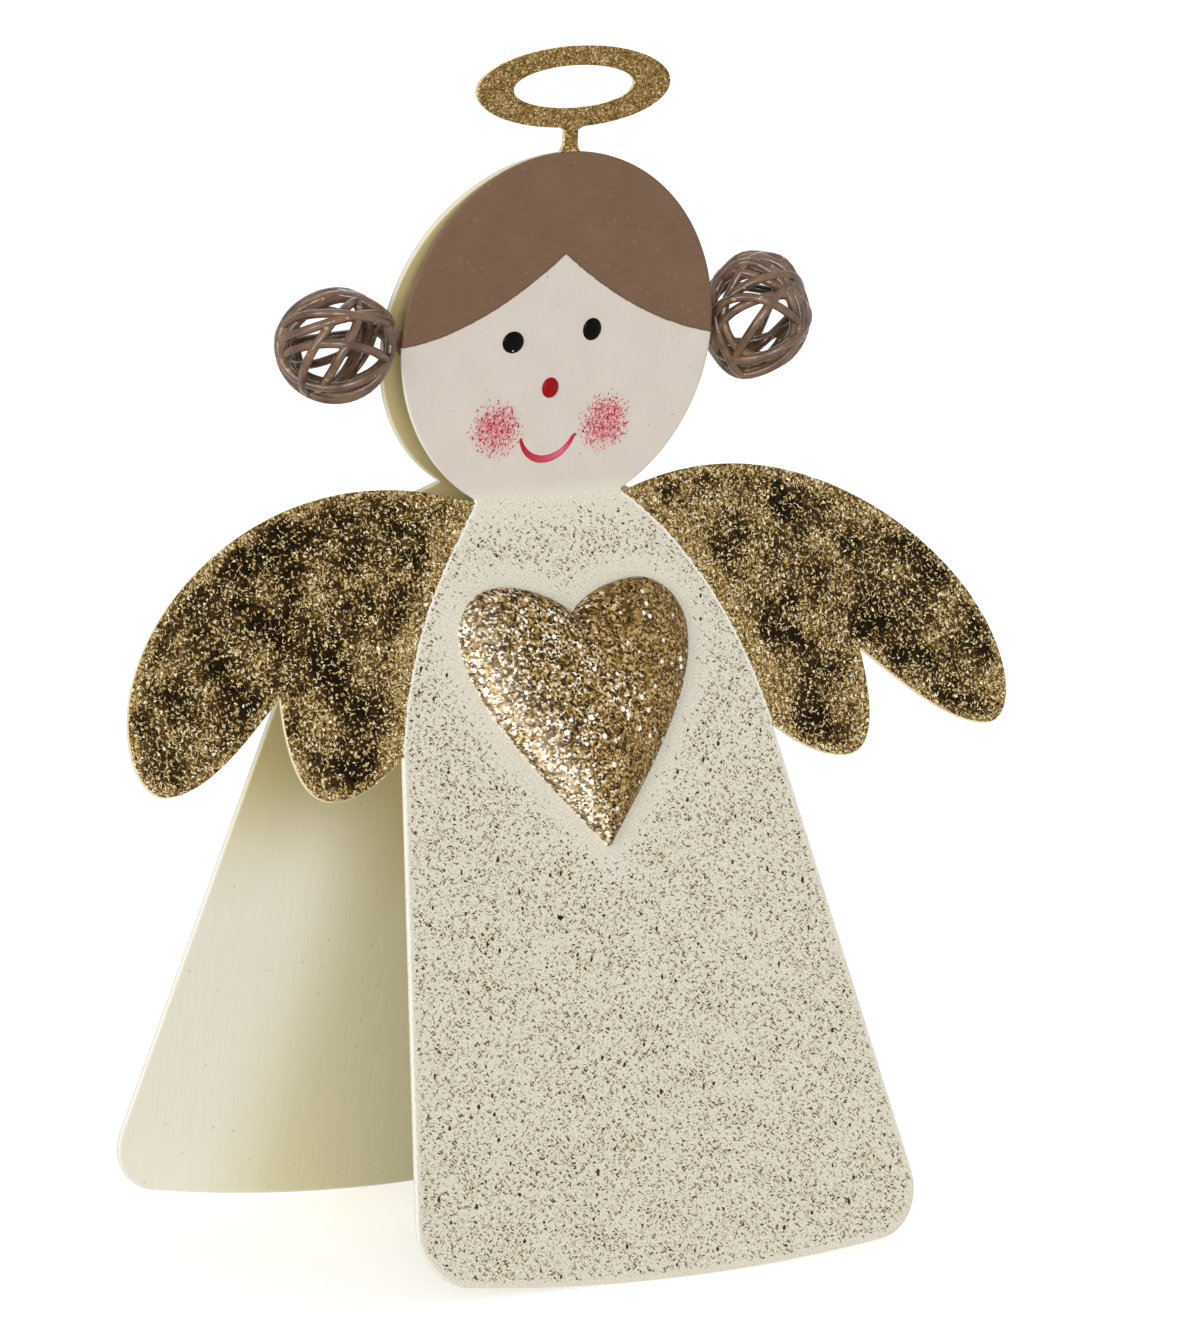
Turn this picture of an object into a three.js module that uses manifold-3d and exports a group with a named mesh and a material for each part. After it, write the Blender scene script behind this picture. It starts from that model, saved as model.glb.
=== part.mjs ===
// Angel clip: a sheet-steel angel that stands on two skirts and holds a card between its two heads.
// A pin behind the neck joins the panels, and a torsion spring on it presses the heads together.
// Millimetres, +Z up, the face looks along -Y, the origin lies on the table under the middle of the stand.
import * as THREE from 'three';
import { mergeVertices } from 'three/addons/utils/BufferGeometryUtils.js';
import Module from 'manifold-3d';

const wasm = await Module();
wasm.setup();

// Sheets and clearances
const SHEET = 0.8;
const SEAT_GAP = 0.3;
const JAW_GAP = 0.3;
const BEND_RADIUS = 1;
const BEND_STEP_DEG = 6;

// Front panel: head and skirt
const NECK_HEIGHT = 113;
const NECK_HALF = 13.2;
const HEAD_RADIUS = 27.8;
const HEAD_LEAN_DEG = 5.2;
const SKIRT_LEAN_DEG = 18.7;
const SKIRT_TOP_HALF = 27.3;
const HEM_HALF = 46;
const HEM_SAG = 3.2;
const HEM_CORNER = 9.2;

// Front panel: wings, measured from the middle of the neck bend outwards and downwards
const WING_CREST_X = 32;
const WING_CREST_RISE = 3;
const WING_REACH = 78.9;
const WING_REACH_DROP = 32.5;
const OUTER_LOBE_X = 74;
const OUTER_LOBE_DROP = 40.1;
const SLIT_X = 52.3;
const SLIT_DROP = 27;
const INNER_LOBE_X = 46;
const INNER_LOBE_DROP = 43.2;
const WING_ROOT_DROP = 37.5;
const WING_SWEEP_DEG = 2.5;

// Back panel, set against the front one
const BACK_NECK_RISE = 1.8;
const BACK_NECK_EXTRA = 0.3;
const BACK_HEAD_INSET = 0.1;
const BACK_HEAD_LEAN_DEG = 14.5;
const BACK_SKIRT_LEAN_DEG = 17.2;
const BACK_SKIRT_TOP_HALF = 28.8;
const BACK_HEM_HALF = 50.8;
const BACK_SHOULDER_DROP = 14;
const BACK_SHOULDER_SLOPE_DEG = 21;
const BACK_HEM_SAG = 5.5;

// Halo
const HALO_RISE = 9.9;
const HALO_HALF_WIDTH = 17.3;
const HALO_HALF_HEIGHT = 6.2;
const HALO_SIDE_WIDTH = 6.5;
const HALO_TOP_WIDTH = 3;
const POST_HALF = 1.45;
const FOOT_FLARE = 1.1;
const FOOT_HEIGHT = 1.2;
const FOOT_EASE = 0.25;

// Heart
const HEART_DROP = 13.5;
const HEART_HALF = 20.2;
const HEART_LENGTH = 40.2;
const HEART_CLEFT = 5;
const HEART_SHOULDER_X = 12.4;
const HEART_SHOULDER_DROP = 8;
const HEART_RISE = 4.3;
const HEART_RIM = 0.4;
const HEART_CROWN = 2.1;

// Hair buns
const BUN_RADIUS = 9.4;
const BUN_WIRE = 1.3;
const BUN_LAYER_GAP = 0.52;
const BUN_EDGE_GAP = 0.5;
const BUN_SETBACK = 3.2;
const BUN_TILT_DEG = 50;
const SOLDER_INSET = 2.6;
const SOLDER_LENGTH = 3.4;
const SOLDER_WIDTH = 2.4;
const SOLDER_RISE = 2.2;

// Hinge
const PIN_DROP = 5;
const PIN_RADIUS = 1.2;
const PIN_HOLE_GAP = 0.3;
const PIN_HEAD_RADIUS = 2.2;
const PIN_HEAD_LENGTH = 0.9;
const PIN_CHAMFER = 0.5;
const BRACKET_SHEET = 1;
const BRACKET_ABOVE = 2.2;
const BRACKET_BELOW = 13;
const EAR_BELOW = 8;
const EAR_RADIUS = 3;
const EAR_PLAY = 0.3;

// Spring
const SPRING_WIRE = 1;
const SPRING_RADIUS = 2.6;
const SPRING_TURNS = 4;
const SPRING_PITCH = 1.45;
const SPRING_LEG = 11;

const rad = THREE.MathUtils.degToRad;
const HEAD_LEAN = rad(HEAD_LEAN_DEG);
const SKIRT_LEAN = rad(-SKIRT_LEAN_DEG);
const BACK_HEAD_LEAN = rad(BACK_HEAD_LEAN_DEG);
const BACK_SKIRT_LEAN = rad(BACK_SKIRT_LEAN_DEG);
const backNeckHeight = NECK_HEIGHT + BACK_NECK_RISE;
const backNeckHalf = NECK_HALF + BACK_NECK_EXTRA;
const backHeadRadius = HEAD_RADIUS - BACK_HEAD_INSET;

// Facets of the round outlines; an odd count leaves a flat facet in the middle of each hem
const HEAD_DIVISIONS = 28;
const EDGE_DIVISIONS = 9;
const HEART_DIVISIONS = 8;
const HEART_RINGS = 8;
const ROUND_SIDES = 20;
const LOOP_STEPS = 24;
const LOOP_SIDES = 6;
const CLIMB_STEPS = 3;
const CURL_STEPS = 8;
const CURL_SIDES = 5;
const GAP_SAMPLES = 3;
const GAP_APART = 4;
const CIRCLE_HANDLE = 0.552;
const COINCIDENT = 1e-4;

// Curve handles, as shares of the spans they ease: [across, down] where both matter
const WING_EASE = {
  rootOut: [0.3, 0.55],
  crestIn: 0.4,
  crestOut: 0.52,
  reachIn: 0.53,
  reachOut: 0.6,
  lobeIn: 0.56,
  lobeOut: 0.35,
  slitIn: [0.24, 0.33],
  slitOut: [0.1, 0.45],
  innerOut: 0.32,
  rootIn: [0.3, 0.58],
};
const SHOULDER_EASE = { out: 0.62, in: 0.5 };
const HEART_EASE = { cleftOut: [0.2, 0.55], topIn: 0.4, flankOut: 0.3, tipIn: [0.43, 0.69] };

// Three layers of the wound ball, from the outside in: turns, polar cap left open, tilt of the layer's axis
const BUN_LAYERS = [
  { turns: 6, cap: rad(24), tilt: new THREE.Euler(0, 0, 0) },
  { turns: 5, cap: rad(29), tilt: new THREE.Euler(rad(130), rad(-12), rad(-61)) },
  { turns: 3, cap: rad(36), tilt: new THREE.Euler(rad(-71), rad(280), rad(-29)) },
];

const paint = (name, color, roughness, metalness) =>
  Object.assign(new THREE.MeshStandardMaterial({ color, roughness, metalness }), { name });
const creamPaint = paint('cream_paint', 0xe9e4d3, 0.6, 0);
const goldGlitter = paint('gold_glitter', 0xb08a48, 0.35, 0.8);
const brownPaint = paint('brown_paint', 0x7c6049, 0.55, 0);
const zincPlate = paint('zinc_plate', 0xa9abad, 0.4, 0.9);
const springSteel = paint('spring_steel', 0x84878b, 0.3, 1);

// Plain helpers

function named(name, geometry, material) {
  const mesh = new THREE.Mesh(geometry, material);
  mesh.name = name;
  return mesh;
}

function solidOf(geometry) {
  const plain = geometry.clone();
  plain.deleteAttribute('normal');
  plain.deleteAttribute('uv');
  const merged = mergeVertices(plain, COINCIDENT);
  return new wasm.Manifold(new wasm.Mesh({
    numProp: 3,
    vertProperties: new Float32Array(merged.attributes.position.array),
    triVerts: new Uint32Array(merged.index.array),
  }));
}

function geometryOf(solid) {
  const { vertProperties, triVerts } = solid.getMesh();
  const geometry = new THREE.BufferGeometry();
  geometry.setAttribute('position', new THREE.BufferAttribute(vertProperties, 3));
  geometry.setIndex(new THREE.BufferAttribute(triVerts, 1));
  geometry.computeVertexNormals();
  return geometry;
}

function indexed(points, faces) {
  const geometry = new THREE.BufferGeometry().setFromPoints(points);
  geometry.setIndex(faces.flat());
  geometry.computeVertexNormals();
  return geometry;
}

function extruded(shape, depth, curveSegments) {
  return new THREE.ExtrudeGeometry(shape, { depth, curveSegments, bevelEnabled: false });
}

// Sheet panels. A panel is a blank of flat regions that meet at fold lines.
// In a region's frame x runs across, y up along the sheet, and z out of its front face.

function sheetFrame(lean, y, z) {
  const frame = new THREE.Group();
  frame.rotation.x = Math.PI / 2 + lean;
  frame.position.set(0, y, z);
  frame.updateMatrix();
  return frame;
}

function outlineOf(shape, divisions) {
  const points = shape.getPoints(divisions);
  const open = points.filter((point, i) => i === 0 || point.distanceTo(points[i - 1]) > COINCIDENT);
  if (open[0].distanceTo(open.at(-1)) < COINCIDENT) open.pop();
  return THREE.ShapeUtils.isClockWise(open) ? open.reverse() : open;
}

function foldedSheet(regions) {
  const front = [];
  const normals = [];
  const frontFaces = [];
  const edges = new Map();
  const weld = (point, normal) => {
    let index = front.findIndex((known) => known.distanceTo(point) < COINCIDENT);
    if (index < 0) index = front.push(point) - 1;
    (normals[index] ??= []).push(normal);
    return index;
  };
  for (const { outline, matrix } of regions) {
    const normal = new THREE.Vector3(0, 0, 1).transformDirection(matrix);
    const places = outline.map(({ x, y }) => new THREE.Vector3(x, y, 0).applyMatrix4(matrix));
    const corners = places.map((place) => weld(place, normal));
    const triangles = THREE.ShapeUtils.triangulateShape(outline, []);
    frontFaces.push(...triangles.map((face) => face.map((i) => corners[i])));
    corners.forEach((corner, i) => {
      const next = corners[(i + 1) % corners.length];
      edges.set(`${corner} ${next}`, [corner, next]);
    });
  }
  // Each back corner lies one sheet behind every region that meets at its front corner
  const back = front.map((point, i) => {
    const mean = new THREE.Vector3();
    for (const normal of normals[i]) mean.addScaledVector(normal, 1 / normals[i].length);
    return point.clone().addScaledVector(mean, -SHEET / mean.lengthSq());
  });
  const behind = (i) => i + front.length;
  const faces = [...frontFaces];
  for (const [a, b, c] of frontFaces) faces.push([behind(c), behind(b), behind(a)]);
  for (const [a, b] of edges.values()) {
    if (edges.has(`${b} ${a}`)) continue;
    faces.push([a, behind(a), b], [b, behind(a), behind(b)]);
  }
  return indexed([...front, ...back], faces);
}

// Length of sheet that the neck's bend takes up on each side of its corner
function bendTangent(skirtLean, headLean) {
  return BEND_RADIUS * Math.tan(Math.abs(headLean - skirtLean) / 2);
}

// The neck: flat strips round the bend from the skirt's lean to the head's, with both frames at their ends
function neckBend(skirtLean, headLean, half, y, z) {
  const turn = headLean - skirtLean;
  const tangent = bendTangent(skirtLean, headLean);
  const steps = Math.ceil(Math.abs(turn) / rad(BEND_STEP_DEG));
  const skirt = sheetFrame(skirtLean, y, z);
  const head = sheetFrame(headLean, y, z);
  const radius = BEND_RADIUS * Math.sign(turn);
  const outward = (lean) => new THREE.Vector3(0, -Math.cos(lean), -Math.sin(lean));
  const start = new THREE.Vector3(0, -tangent, 0).applyMatrix4(skirt.matrix);
  const centre = start.clone().addScaledVector(outward(skirtLean), radius);
  const strips = [];
  for (let i = 0; i < steps; i += 1) {
    const low = centre.clone().addScaledVector(outward(skirtLean + (turn * i) / steps), -radius);
    const high = centre.clone().addScaledVector(outward(skirtLean + (turn * (i + 1)) / steps), -radius);
    const length = low.distanceTo(high);
    const corners = [[-half, 0], [half, 0], [half, length], [-half, length]];
    strips.push({
      outline: corners.map(([u, v]) => new THREE.Vector2(u, v)),
      matrix: sheetFrame(skirtLean + (turn * (i + 0.5)) / steps, low.y, low.z).matrix,
    });
  }
  return { skirt, head, tangent, strips };
}

function headCentreHeight(radius, half, tangent) {
  return tangent + Math.sqrt(radius ** 2 - half ** 2);
}

function headOutline(radius, half, tangent) {
  const height = headCentreHeight(radius, half, tangent);
  const start = Math.atan2(tangent - height, half);
  const shape = new THREE.Shape();
  shape.absarc(0, height, radius, start, Math.PI - start, false);
  return outlineOf(shape, HEAD_DIVISIONS);
}

// Skirt from the neck's corners out to the sides, down to the rounded corners and along the curved hem
function skirtOutline({ neckHalf, tangent, topHalf, hemHalf, length, sag, rootDrop, rounded }) {
  const flare = (hemHalf - topHalf) / (length - sag);
  const root = new THREE.Vector2(topHalf + flare * rootDrop, -rootDrop);
  const corner = new THREE.Vector2(hemHalf, sag - length);
  const along = new THREE.Vector2(flare, -1).normalize();
  const sideEnd = corner.clone().addScaledVector(along, -HEM_CORNER);
  const hemX = hemHalf - HEM_CORNER;
  const hemLift = sag * (hemX / hemHalf) ** 2;
  const hemEnd = new THREE.Vector2(hemX, hemLift - length);
  const hemSlope = (2 * hemLift) / hemX;
  const handle = HEM_CORNER * CIRCLE_HANDLE;
  const shape = new THREE.Shape();
  const reach = SHOULDER_EASE.out * (root.x - neckHalf);
  const drop = reach * Math.tan(rad(BACK_SHOULDER_SLOPE_DEG));
  const shoulderOut = new THREE.Vector2(neckHalf + reach, -tangent - drop);
  const shoulderIn = root.clone().addScaledVector(along, -SHOULDER_EASE.in * rootDrop);
  shape.moveTo(-neckHalf, -tangent);
  if (rounded) {
    shape.bezierCurveTo(-shoulderOut.x, shoulderOut.y, -shoulderIn.x, shoulderIn.y, -root.x, root.y);
  } else {
    shape.lineTo(-root.x, root.y);
  }
  shape.lineTo(-sideEnd.x, sideEnd.y);
  shape.bezierCurveTo(
    -sideEnd.x - along.x * handle, sideEnd.y + along.y * handle,
    -hemX - handle, hemEnd.y + hemSlope * handle,
    -hemX, hemEnd.y,
  );
  shape.quadraticCurveTo(0, -length - hemLift, hemX, hemEnd.y);
  shape.bezierCurveTo(
    hemX + handle, hemEnd.y + hemSlope * handle,
    sideEnd.x + along.x * handle, sideEnd.y + along.y * handle,
    sideEnd.x, sideEnd.y,
  );
  shape.lineTo(root.x, root.y);
  if (rounded) {
    shape.bezierCurveTo(shoulderIn.x, shoulderIn.y, shoulderOut.x, shoulderOut.y, neckHalf, -tangent);
  } else {
    shape.lineTo(neckHalf, -tangent);
  }
  return { outline: outlineOf(shape, EDGE_DIVISIONS), root };
}

// Right-hand wing of two lobes, from the neck's corner over the crest and back to the skirt's side
function wingOutline(neckHalf, tangent, root) {
  const rise = WING_CREST_RISE + tangent;
  const crestSpan = WING_CREST_X - neckHalf;
  const reachSpan = WING_REACH - WING_CREST_X;
  const reachFall = WING_CREST_RISE + WING_REACH_DROP;
  const lobeSpan = WING_REACH - OUTER_LOBE_X;
  const lobeFall = OUTER_LOBE_DROP - WING_REACH_DROP;
  const slitSpan = OUTER_LOBE_X - SLIT_X;
  const slitRise = OUTER_LOBE_DROP - SLIT_DROP;
  const innerSpan = SLIT_X - INNER_LOBE_X;
  const innerFall = INNER_LOBE_DROP - SLIT_DROP;
  const rootSpan = INNER_LOBE_X - root.x;
  const rootRise = INNER_LOBE_DROP + root.y;
  const ease = WING_EASE;
  const shape = new THREE.Shape();
  shape.moveTo(neckHalf, -tangent);
  shape.bezierCurveTo(
    neckHalf + ease.rootOut[0] * crestSpan, ease.rootOut[1] * rise - tangent,
    WING_CREST_X - ease.crestIn * crestSpan, WING_CREST_RISE,
    WING_CREST_X, WING_CREST_RISE,
  );
  shape.bezierCurveTo(
    WING_CREST_X + ease.crestOut * reachSpan, WING_CREST_RISE,
    WING_REACH, WING_CREST_RISE - ease.reachIn * reachFall,
    WING_REACH, -WING_REACH_DROP,
  );
  shape.bezierCurveTo(
    WING_REACH, -WING_REACH_DROP - ease.reachOut * lobeFall,
    OUTER_LOBE_X + ease.lobeIn * lobeSpan, -OUTER_LOBE_DROP,
    OUTER_LOBE_X, -OUTER_LOBE_DROP,
  );
  shape.bezierCurveTo(
    OUTER_LOBE_X - ease.lobeOut * slitSpan, -OUTER_LOBE_DROP,
    SLIT_X + ease.slitIn[0] * slitSpan, -SLIT_DROP - ease.slitIn[1] * slitRise,
    SLIT_X, -SLIT_DROP,
  );
  shape.bezierCurveTo(
    SLIT_X + ease.slitOut[0] * innerSpan, -SLIT_DROP - ease.slitOut[1] * innerFall,
    SLIT_X, -INNER_LOBE_DROP,
    INNER_LOBE_X, -INNER_LOBE_DROP,
  );
  shape.bezierCurveTo(
    INNER_LOBE_X - ease.innerOut * rootSpan, -INNER_LOBE_DROP,
    root.x + ease.rootIn[0] * rootSpan, root.y - ease.rootIn[1] * rootRise,
    root.x, root.y,
  );
  return outlineOf(shape, EDGE_DIVISIONS);
}

// A wing turns back a little about the line from the neck's corner to its lower root
function wingRegion(side, neckHalf, tangent, root, skirtMatrix) {
  const corner = new THREE.Vector3(side * neckHalf, -tangent, 0);
  const axis = new THREE.Vector3(side * root.x, root.y, 0).sub(corner).normalize();
  const swing = new THREE.Matrix4().makeRotationAxis(axis, -side * rad(WING_SWEEP_DEG));
  const matrix = skirtMatrix.clone()
    .multiply(new THREE.Matrix4().makeTranslation(corner))
    .multiply(swing)
    .multiply(new THREE.Matrix4().makeTranslation(corner.clone().negate()));
  const outline = wingOutline(neckHalf, tangent, root).map(({ x, y }) => new THREE.Vector2(side * x, y));
  return { outline: side < 0 ? outline.reverse() : outline, matrix };
}

// Places of the panels in the side view: y of each neck bend, with the front head's top edge at y = 0

const frontLength = (NECK_HEIGHT + SHEET * Math.sin(SKIRT_LEAN)) / Math.cos(SKIRT_LEAN);
const backLength = backNeckHeight / Math.cos(BACK_SKIRT_LEAN);
const headCentre = headCentreHeight(HEAD_RADIUS, NECK_HALF, bendTangent(SKIRT_LEAN, HEAD_LEAN));
const backTangent = bendTangent(BACK_SKIRT_LEAN, BACK_HEAD_LEAN);
const headReach = headCentre + HEAD_RADIUS;
const backHeadReach = headCentreHeight(backHeadRadius, backNeckHalf, backTangent) + backHeadRadius;
const frontNeckY = headReach * Math.sin(HEAD_LEAN);

// The jaws meet where the lower of the two top edges lies against the other sheet
const frontTop = NECK_HEIGHT + headReach * Math.cos(HEAD_LEAN);
const backTop = backNeckHeight + backHeadReach * Math.cos(BACK_HEAD_LEAN);
const jawHeight = Math.min(frontTop, backTop);
const frontJawY = frontNeckY - (jawHeight - NECK_HEIGHT) * Math.tan(HEAD_LEAN) + SHEET / Math.cos(HEAD_LEAN);
const backNeckY = frontJawY + JAW_GAP + (jawHeight - backNeckHeight) * Math.tan(BACK_HEAD_LEAN);

const front = neckBend(SKIRT_LEAN, HEAD_LEAN, NECK_HALF, frontNeckY, NECK_HEIGHT);
const back = neckBend(BACK_SKIRT_LEAN, BACK_HEAD_LEAN, backNeckHalf, backNeckY, backNeckHeight);
const frontHemY = frontNeckY + frontLength * Math.sin(SKIRT_LEAN);
const backHemY = backNeckY + backLength * Math.sin(BACK_SKIRT_LEAN) + SHEET * Math.cos(BACK_SKIRT_LEAN);

function frontPanel() {
  const { skirt, head, tangent, strips } = front;
  const { outline, root } = skirtOutline({
    neckHalf: NECK_HALF,
    tangent,
    topHalf: SKIRT_TOP_HALF,
    hemHalf: HEM_HALF,
    length: frontLength,
    sag: HEM_SAG,
    rootDrop: WING_ROOT_DROP,
    rounded: false,
  });
  const wings = [-1, 1].map((side) => wingRegion(side, NECK_HALF, tangent, root, skirt.matrix));
  return foldedSheet([
    { outline, matrix: skirt.matrix },
    ...strips,
    { outline: headOutline(HEAD_RADIUS, NECK_HALF, tangent), matrix: head.matrix },
    ...wings,
  ]);
}

// The back skirt has no wings: its shoulders are rounded and go down behind the front panel's wings
function backPanel() {
  const { skirt, head, tangent, strips } = back;
  const { outline } = skirtOutline({
    neckHalf: backNeckHalf,
    tangent,
    topHalf: BACK_SKIRT_TOP_HALF,
    hemHalf: BACK_HEM_HALF,
    length: backLength,
    sag: BACK_HEM_SAG,
    rootDrop: BACK_SHOULDER_DROP,
    rounded: true,
  });
  return foldedSheet([
    { outline, matrix: skirt.matrix },
    ...strips,
    { outline: headOutline(backHeadRadius, backNeckHalf, tangent), matrix: head.matrix },
  ]);
}

// Halo: oval ring on a post whose flared foot follows the head's edge, in a frame at the head's centre
function haloRing() {
  const ringY = HEAD_RADIUS + HALO_RISE;
  const footHalf = POST_HALF + FOOT_FLARE;
  const footRadius = HEAD_RADIUS + SEAT_GAP;
  const footAngle = Math.acos(footHalf / footRadius);
  const footY = Math.sqrt(footRadius ** 2 - footHalf ** 2);
  const footTop = footRadius + FOOT_HEIGHT;
  const filletY = footRadius + FOOT_EASE * FOOT_HEIGHT;
  const postAngle = Math.acos(POST_HALF / HALO_HALF_WIDTH);
  const shape = new THREE.Shape();
  shape.moveTo(footHalf, footY);
  shape.quadraticCurveTo(POST_HALF, filletY, POST_HALF, footTop);
  shape.absellipse(0, ringY, HALO_HALF_WIDTH, HALO_HALF_HEIGHT, -postAngle, Math.PI + postAngle, false);
  shape.lineTo(-POST_HALF, footTop);
  shape.quadraticCurveTo(-POST_HALF, filletY, -footHalf, footY);
  shape.absarc(0, 0, footRadius, Math.PI - footAngle, footAngle, true);
  const hole = new THREE.Path();
  hole.absellipse(
    0, ringY, HALO_HALF_WIDTH - HALO_SIDE_WIDTH, HALO_HALF_HEIGHT - HALO_TOP_WIDTH, 0, 2 * Math.PI, true,
  );
  shape.holes.push(hole);
  return extruded(shape, SHEET, HEAD_DIVISIONS).translate(0, 0, -SHEET);
}

// Heart: rings of one outline draw in towards its middle while they climb a rounded crown
function heartOutline() {
  const bulge = HEART_HALF - HEART_SHOULDER_X;
  const fall = HEART_LENGTH - HEART_SHOULDER_DROP;
  const ease = HEART_EASE;
  const at = (x, drop) => new THREE.Vector2(x, -drop);
  const cleft = at(0, HEART_CLEFT);
  const top = at(HEART_SHOULDER_X, 0);
  const shoulder = at(HEART_HALF, HEART_SHOULDER_DROP);
  const flank = new THREE.CurvePath();
  flank.add(new THREE.CubicBezierCurve(
    cleft,
    at(ease.cleftOut[0] * HEART_SHOULDER_X, (1 - ease.cleftOut[1]) * HEART_CLEFT),
    at((1 - ease.topIn) * HEART_SHOULDER_X, 0),
    top,
  ));
  flank.add(new THREE.CubicBezierCurve(
    top,
    at(HEART_SHOULDER_X + CIRCLE_HANDLE * bulge, 0),
    at(HEART_HALF, (1 - CIRCLE_HANDLE) * HEART_SHOULDER_DROP),
    shoulder,
  ));
  flank.add(new THREE.CubicBezierCurve(
    shoulder,
    at(HEART_HALF, HEART_SHOULDER_DROP + ease.flankOut * fall),
    at(ease.tipIn[0] * HEART_HALF, HEART_SHOULDER_DROP + ease.tipIn[1] * fall),
    at(0, HEART_LENGTH),
  ));
  const right = flank.getPoints(HEART_DIVISIONS);
  const left = right.slice(1, -1).reverse().map(({ x, y }) => new THREE.Vector2(-x, y));
  return outlineOf(new THREE.Shape([...right, ...left]), 1);
}

function heartDome() {
  const outline = heartOutline();
  const count = outline.length;
  const middle = new THREE.Vector2(0, -(HEART_CLEFT + HEART_SHOULDER_DROP));
  const points = outline.map(({ x, y }) => new THREE.Vector3(x, y, 0));
  for (let ring = 0; ring < HEART_RINGS; ring += 1) {
    const climb = (Math.PI / 2) * (ring / HEART_RINGS);
    const share = Math.cos(climb) ** (2 / HEART_CROWN);
    const height = HEART_RIM + (HEART_RISE - HEART_RIM) * Math.sin(climb);
    for (const point of outline) {
      const place = middle.clone().lerp(point, share);
      points.push(new THREE.Vector3(place.x, place.y, height));
    }
  }
  const crown = points.push(new THREE.Vector3(middle.x, middle.y, HEART_RISE)) - 1;
  const faces = THREE.ShapeUtils.triangulateShape(outline, []).map(([a, b, c]) => [c, b, a]);
  for (let i = 0; i < count; i += 1) {
    const next = (i + 1) % count;
    for (let ring = 0; ring < HEART_RINGS; ring += 1) {
      const low = ring * count;
      const high = low + count;
      faces.push([low + i, low + next, high + next], [low + i, high + next, high + i]);
    }
    faces.push([HEART_RINGS * count + i, HEART_RINGS * count + next, crown]);
  }
  return indexed(points, faces);
}

// Wire: rings of one section carried along a path, closed at both ends

function wireTube(path, diameter, sides) {
  const points = [];
  const faces = [];
  let across = new THREE.Vector3();
  path.forEach((point, i) => {
    const ahead = path[Math.min(i + 1, path.length - 1)].clone();
    const run = ahead.sub(path[Math.max(i - 1, 0)]).normalize();
    if (i === 0) across = new THREE.Vector3(run.y, run.z, run.x).cross(run);
    across = across.addScaledVector(run, -across.dot(run)).normalize();
    const up = run.clone().cross(across);
    for (let k = 0; k < sides; k += 1) {
      const turn = (2 * Math.PI * k) / sides;
      points.push(point.clone()
        .addScaledVector(across, (Math.cos(turn) * diameter) / 2)
        .addScaledVector(up, (Math.sin(turn) * diameter) / 2));
    }
  });
  for (let i = 0; i + 1 < path.length; i += 1) {
    for (let k = 0; k < sides; k += 1) {
      const a = i * sides + k;
      const b = i * sides + ((k + 1) % sides);
      faces.push([a, b, b + sides], [a, b + sides, a + sides]);
    }
  }
  const last = (path.length - 1) * sides;
  for (let k = 1; k + 1 < sides; k += 1) {
    faces.push([0, k + 1, k], [last, last + k, last + k + 1]);
  }
  return indexed(points, faces);
}

// Least clear gap between stretches of one wire that lie more than a few diameters apart along it
function leastGap(path, diameter) {
  const between = GAP_SAMPLES;
  const apart = GAP_APART * diameter;
  const fine = [];
  let run = 0;
  for (let i = 0; i + 1 < path.length; i += 1) {
    const length = path[i].distanceTo(path[i + 1]);
    for (let k = 0; k < between; k += 1) {
      const place = path[i].clone().lerp(path[i + 1], k / between);
      fine.push({ place, run: run + (length * k) / between });
    }
    run += length;
  }
  let least = Infinity;
  for (const [i, a] of fine.entries()) {
    for (const b of fine.slice(i + 1)) {
      if (b.run - a.run > apart) least = Math.min(least, a.place.distanceTo(b.place) - diameter);
    }
  }
  return least;
}

// Bun: one wire wound from pole to pole in three layers, each about an axis of its own
function bunPath() {
  const layers = BUN_LAYERS.map(({ turns, cap, tilt }, depth) => {
    const radius = BUN_RADIUS - BUN_WIRE / 2 - depth * (BUN_WIRE + BUN_LAYER_GAP);
    const steps = turns * LOOP_STEPS;
    return Array.from({ length: steps + 1 }, (_, i) => {
      const share = i / steps;
      const polar = cap + (Math.PI - 2 * cap) * share;
      const turned = 2 * Math.PI * turns * share;
      return new THREE.Vector3().setFromSphericalCoords(radius, polar, turned).applyEuler(tilt);
    });
  });
  const path = [...layers[0]];
  for (const layer of layers.slice(1)) {
    const [from, to] = [path.at(-1), layer[0]];
    const reach = from.distanceTo(to) / 2;
    const leave = from.clone().sub(path.at(-2)).setLength(reach);
    const arrive = layer[1].clone().sub(to).setLength(reach);
    const climb = new THREE.CubicBezierCurve3(from, from.clone().add(leave), to.clone().sub(arrive), to);
    const steps = Math.max(CLIMB_STEPS, Math.round(climb.getLength() / BUN_WIRE));
    path.push(...climb.getPoints(steps).slice(1, -1), ...layer);
  }
  return path;
}

// Solder bead: a low mound behind the head's edge, hollowed where the ball sits in it
function solderBead(side, bunX) {
  const mound = new THREE.SphereGeometry(1, ROUND_SIDES, ROUND_SIDES / 2);
  mound.scale(SOLDER_LENGTH, SOLDER_WIDTH, SOLDER_RISE);
  const seat = -SHEET - SEAT_GAP;
  mound.translate(side * (HEAD_RADIUS - SOLDER_INSET), 0, seat);
  const slab = new THREE.BoxGeometry(4 * SOLDER_LENGTH, 4 * SOLDER_WIDTH, 4 * SOLDER_RISE);
  slab.translate(side * (HEAD_RADIUS - SOLDER_INSET), 0, seat + 2 * SOLDER_RISE);
  const ball = new THREE.SphereGeometry(BUN_RADIUS + SEAT_GAP, 2 * ROUND_SIDES, ROUND_SIDES);
  ball.translate(side * bunX, 0, -BUN_SETBACK);
  return geometryOf(solidOf(mound).subtract(solidOf(slab)).subtract(solidOf(ball)));
}

// Hinge: the pin lies midway between the two skirts, a little below the neck

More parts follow.
